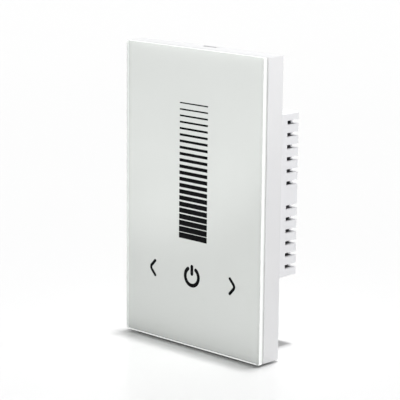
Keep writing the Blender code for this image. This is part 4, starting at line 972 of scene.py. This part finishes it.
def make_screws():
    """Pan-head screws with cross recesses and threads, one for each screw node."""
    kinds = (("touch_board_screw", 4, "front_panel", BACKWARD),
             ("housing_screw", 4, "base", FORWARD),
             ("power_board_screw", 2, "base", FORWARD))
    head = SCREW_HEAD[1]
    arm, width, half_depth = (size / 2 for size in SCREW_RECESS)
    for kind, count, body, turn in kinds:
        for index in range(1, count + 1):
            node = f"{kind}_{index}"
            low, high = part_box(node)
            length = high.y - low.y - head
            seat = high.y - head if turn is BACKWARD else low.y + head
            place = axis_at((low, high), seat, turn)
            # the recess faces take the last material, painted shade
            screw = turned_piece(node, screw_outline(length), place, [ZINC, RECESS_SHADE])
            spot = place @ along(head - half_depth + CUT_OVER)
            deep = half_depth + CUT_OVER
            cut_away(screw, [(spot, (arm, width, deep)), (spot, (width, arm, deep))])
            thread = grow(THREAD, "thread", {"Length": length - THREAD_SHORTER},
                          place @ along(-THREAD_START))
            hand_over(joined(f"pan_screw_{node}", screw, thread), body, "plated_steel", node)


def make_terminal_screws():
    """Slotted screws in the wells of the terminal block."""
    head, shank, edge = TERMINAL_HEAD, TERMINAL_SHANK, TERMINAL_EDGE
    for index in range(1, 5):
        node = f"terminal_screw_{index}"
        low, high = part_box(node)
        radius, length = (high.x - low.x) / 2, high.y - low.y - head
        place = axis_at((low, high), high.y - head, BACKWARD)
        outline = [(0.0, head), (radius - edge, head),
                   (radius - 0.3 * edge, head - 0.3 * edge), (radius, head - edge),
                   (radius, 0.1 * MM), (radius - 0.1 * MM, 0.0), (shank, 0.0),
                   (shank, edge - length), (shank - edge, -length), (0.0, -length)]
        # the slot faces take the last material, painted shade
        screw = turned_piece("slotted_screw", outline, place, [SCREW_NICKEL, RECESS_SHADE])
        cut_away(screw, [(place @ along(head), TERMINAL_SLOT)])
        screw.name = f"slotted_screw_{index}"
        hand_over(screw, f"screw_{index}", "terminal_screw_steel", node)


def make_touch_springs():
    """Coil springs between the touch board and the glass."""
    names = ["key_spring_left", "key_spring_power", "key_spring_right"]
    names += [f"slider_spring_{index}" for index in range(1, 6)]
    for node in names:
        low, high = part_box(node)
        spring = grow(TOUCH_COIL, f"wire_{node}",
                      {"Radius": (high.x - low.x) / 2 - SPRING_WIRE,
                       "Height": high.y - low.y - 2 * SPRING_WIRE, "Turns": SPRING_TURNS},
                      axis_at((low, high), high.y - SPRING_WIRE, FORWARD))
        hand_over(spring, "front_panel", "spring_steel", node)


def make_choke():
    """The choke's turned ferrite core and its copper turns."""
    low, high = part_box("choke_core")
    radius, height = (high.x - low.x) / 2, high.y - low.y
    place = axis_at((low, high), low.y, BACKWARD)
    flange, waist, soft = CHOKE_FLANGE, CHOKE_WAIST, CHOKE_EDGE
    outline = [(0.0, height), (radius - soft, height), (radius, height - soft),
               (radius, height - flange + soft), (radius - soft, height - flange),
               (waist, height - flange), (waist, flange), (radius - soft, flange),
               (radius, flange - soft), (radius, soft), (radius - soft, 0.0), (0.0, 0.0)]
    hand_over(turned_piece("drum_core", outline, place, [FERRITE], CHOKE_STEPS),
              "base", "ferrite", "choke_core")
    foot = low.y
    low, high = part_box("choke_winding")
    span = high.y - low.y - 2 * COIL_WIRE
    outer = (high.x - low.x) / 2 - COIL_WIRE
    layers = [grow(CHOKE_COIL, f"copper_layer_{layer}",
                   {"Radius": outer - layer * COIL_NESTING * COIL_WIRE, "Height": span,
                    "Turns": span / (2 * COIL_WIRE), "Wire Radius": COIL_WIRE, "Steps": 24,
                    "Sides": 8}, place @ along(low.y - foot + COIL_WIRE))
              for layer in range(2)]
    hand_over(joined("copper_turns", *layers), "base", "copper_wire", "choke_winding")


def make_capacitors():
    """Round capacitors: sleeved cans with bare scored tops."""
    lip = CAN_LIP
    for index in (1, 2):
        node = f"capacitor_{index}"
        low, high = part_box(node)
        radius, height = (high.x - low.x) / 2, high.y - low.y
        place = axis_at((low, high), low.y, BACKWARD)
        outline = [(0.0, height - lip), (radius - 3 * lip, height - lip),
                   (radius - 2.6 * lip, height - 0.7 * lip), (radius - 2 * lip, height),
                   (radius - lip, height), (radius - 0.3 * lip, height - 0.3 * lip),
                   (radius, height - lip), (radius, 5.4 * lip), (radius - 0.4 * lip, 4.8 * lip),
                   (radius - lip, 4 * lip), (radius - 0.4 * lip, 3.2 * lip), (radius, 2.6 * lip),
                   (radius, lip), (radius - 0.3 * lip, 0.3 * lip), (radius - lip, 0.0),
                   (0.0, 0.0)]
        can = turned_piece("can", outline, place, [SLEEVE, CAN_METAL], CAN_STEPS, top_rings=3)
        spot = place @ along(height - lip)
        arm, (narrow, deep) = radius - 3.6 * lip, CAN_SCORE
        cut_away(can, [(spot, (arm, narrow, deep)), (spot, (narrow, arm, deep))])
        can.name = f"sleeved_can_{index}"
        hand_over(can, "base", "capacitor_sleeve", node)


def make_lamp():
    """The domed resin lamp."""
    low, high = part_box("power_led")
    flange, height = (high.x - low.x) / 2, high.y - low.y
    radius = flange - LAMP_FLANGE
    outline = [(0.0, height)]
    for step in range(1, LAMP_STEPS + 1):
        angle = math.pi / 2 * step / LAMP_STEPS
        outline.append((radius * math.sin(angle), height - radius + radius * math.cos(angle)))
    outline += [(radius, 0.7 * MM), (flange - 0.1 * MM, 0.6 * MM), (flange, 0.5 * MM),
                (flange, 0.0), (0.0, 0.0)]
    dome = turned_piece("lamp_dome", outline, axis_at((low, high), high.y, FORWARD),
                        [LAMP_RESIN])
    hand_over(dome, "front_panel", "lamp", "power_led")


def make_board_parts():
    """The touch chip, the transistors and the two halves of the link."""
    dress("touch_controller", "touch_chip", "front_panel", "chip", CHIP_BLACK, 0.06 * MM)
    for node in ("transistor_1", "transistor_2"):
        dress(node, f"flat_{node}", "base", "chip", CHIP_BLACK, 0.06 * MM)
    dress("link_socket", "socket_body", "front_panel", "connector_plastic", LINK_BLACK,
          0.1 * MM)
    dress("link_header", "pin_strip", "base", "connector_plastic", LINK_BLACK, 0.08 * MM)


def coat_nodes():
    """Give the nodes that stay their finishes."""
    coats = {"touch_board": BOARD_GREEN, "power_board": BOARD_GREEN}
    for index in range(1, 5):
        coats[f"panel_clip_{index}"] = CLIP_STEEL
        coats[f"wire_clamp_{index}"] = TIN_BRASS
        coats[f"contact_pin_{index}"] = TIN_BRASS
    for node, material in coats.items():
        for holder in NODES[node].material_slots:
            holder.material = material


# Stage
def make_floor():
    """A pale floor, which mirrors don't show: the world has its image for them."""
    shape = bmesh.new()
    bmesh.ops.create_grid(shape, x_segments=2, y_segments=2, size=FLOOR_HALF,
                          matrix=along(-FLOOR_DROP))
    floor = piece_from(shape, "floor", [floor_material()])
    floor.visible_glossy = False
    floor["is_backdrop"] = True


def make_camera():
    """The camera at the photo's viewing angle."""
    turn, rise, roll = (math.radians(value) for value in (CAMERA_TURN, CAMERA_RISE, CAMERA_ROLL))
    back = Vector((math.sin(turn) * math.cos(rise), -math.cos(turn) * math.cos(rise),
                   math.sin(rise)))
    right = Vector((math.cos(turn), math.sin(turn), 0.0))
    up = back.cross(right)
    across = math.cos(roll) * right + math.sin(roll) * up
    upward = math.cos(roll) * up - math.sin(roll) * right
    half = PHOTO_SIZE / 2
    shift_x = -(CAMERA_CENTRE[0] - half) / FOCUS_PIXELS * CAMERA_DISTANCE
    shift_y = (CAMERA_CENTRE[1] - half) / FOCUS_PIXELS * CAMERA_DISTANCE
    low, high = CAD_BOX
    centre = Vector((0.0, low[1], (low[2] + high[2]) / 2))
    place = centre + back * CAMERA_DISTANCE + across * shift_x + upward * shift_y
    lens = bpy.data.cameras.new("photo_camera")
    lens.sensor_width = SENSOR_WIDTH
    lens.lens = FOCUS_PIXELS / PHOTO_SIZE * SENSOR_WIDTH
    lens.clip_start = NEAREST_VIEW
    camera = stand("photo_camera", lens)
    turned_axes = Matrix((across, upward, back)).transposed().to_4x4()
    camera.matrix_world = Matrix.Translation(place) @ turned_axes
    bpy.context.scene.camera = camera


def make_surround():
    """A white studio: a bright backdrop low behind the switch, and a softer room round it."""
    world = bpy.data.worlds.new("white_studio")
    world.use_nodes = True
    tree = world.node_tree
    direction = tree.nodes.new("ShaderNodeTexCoord").outputs["Generated"]
    way = axes_of(tree, direction)
    behind = put(tree, "ShaderNodeVectorMath", {0: direction, 1: BACKDROP_WAY},
                 operation="DOT_PRODUCT").outputs["Value"]
    wide = spread(tree, behind, FRONT_SHARE, 1.0, *BACKDROP_SIDES, "SMOOTHSTEP")
    low_band = spread(tree, way["Z"], 1.0, 0.0, *BACKDROP_TOP, "SMOOTHSTEP")
    level = spread(tree, times(tree, wide, low_band), ROOM_LEVEL, BACKDROP_LEVEL, 0.0, 1.0)
    above = spread(tree, way["Z"], 0.0, 1.0, *HORIZON)
    below = spread(tree, way["Y"], *MIRRORED_FLOOR, *MIRRORED_EDGE, "SMOOTHSTEP")
    rays = tree.nodes.new("ShaderNodeLightPath").outputs
    lit = blend(tree, rays["Is Glossy Ray"], times(tree, level, above),
                blend(tree, above, below, 1.0))
    surround = tree.nodes["Background"]
    surround.inputs["Color"].default_value = (1.0, 1.0, 1.0, 1.0)
    feed(surround, Strength=blend(tree, rays["Is Camera Ray"], lit, 1.0))
    bpy.context.scene.world = world


def stand_lamp(lamp, place, aim, lit):
    """Stand a lamp that lights the switch and not the floor, and isn't seen itself."""
    holder = stand(lamp.name, lamp)
    away = Vector(place) - aim
    holder.matrix_world = (Matrix.Translation(place)
                           @ away.to_track_quat("Z", "Y").to_matrix().to_4x4())
    holder.light_linking.receiver_collection = lit
    holder.visible_camera = False


def make_lights():
    """A soft light high overhead, leaning a little from behind, and panels round the switch."""
    make_surround()
    lamp = bpy.data.lights.new("over_light", "SUN")
    lamp.energy = OVERHEAD_POWER
    lamp.angle = math.radians(OVERHEAD_WIDTH)
    holder = stand("over_light", lamp)
    holder.matrix_world = Vector(OVERHEAD_WAY).to_track_quat("Z", "Y").to_matrix().to_4x4()
    lit = bpy.data.collections.new("lit_by_panels")
    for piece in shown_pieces():
        lit.objects.link(piece)
    middle = (Vector(CAD_BOX[0]) + Vector(CAD_BOX[1])) / 2
    for name, place, power in PANELS:
        panel = bpy.data.lights.new(name, "AREA")
        panel.size = PANEL_SIZE
        panel.energy = power
        stand_lamp(panel, place, middle, lit)
    sheen = bpy.data.lights.new("sheen_light", "SPOT")
    sheen.spot_size = math.radians(SHEEN_CONE)
    sheen.spot_blend = SHEEN_BLEND
    sheen.energy = SHEEN_POWER
    stand_lamp(sheen, SHEEN_PLACE, Vector(SHEEN_AIM), lit)
    bpy.context.scene.view_settings.view_transform = "Standard"


make_camera()
make_pane()
make_print()
make_mouldings()
make_screws()
make_terminal_screws()
make_touch_springs()
make_choke()
make_capacitors()
make_lamp()
make_board_parts()
coat_nodes()
make_floor()
make_lights()
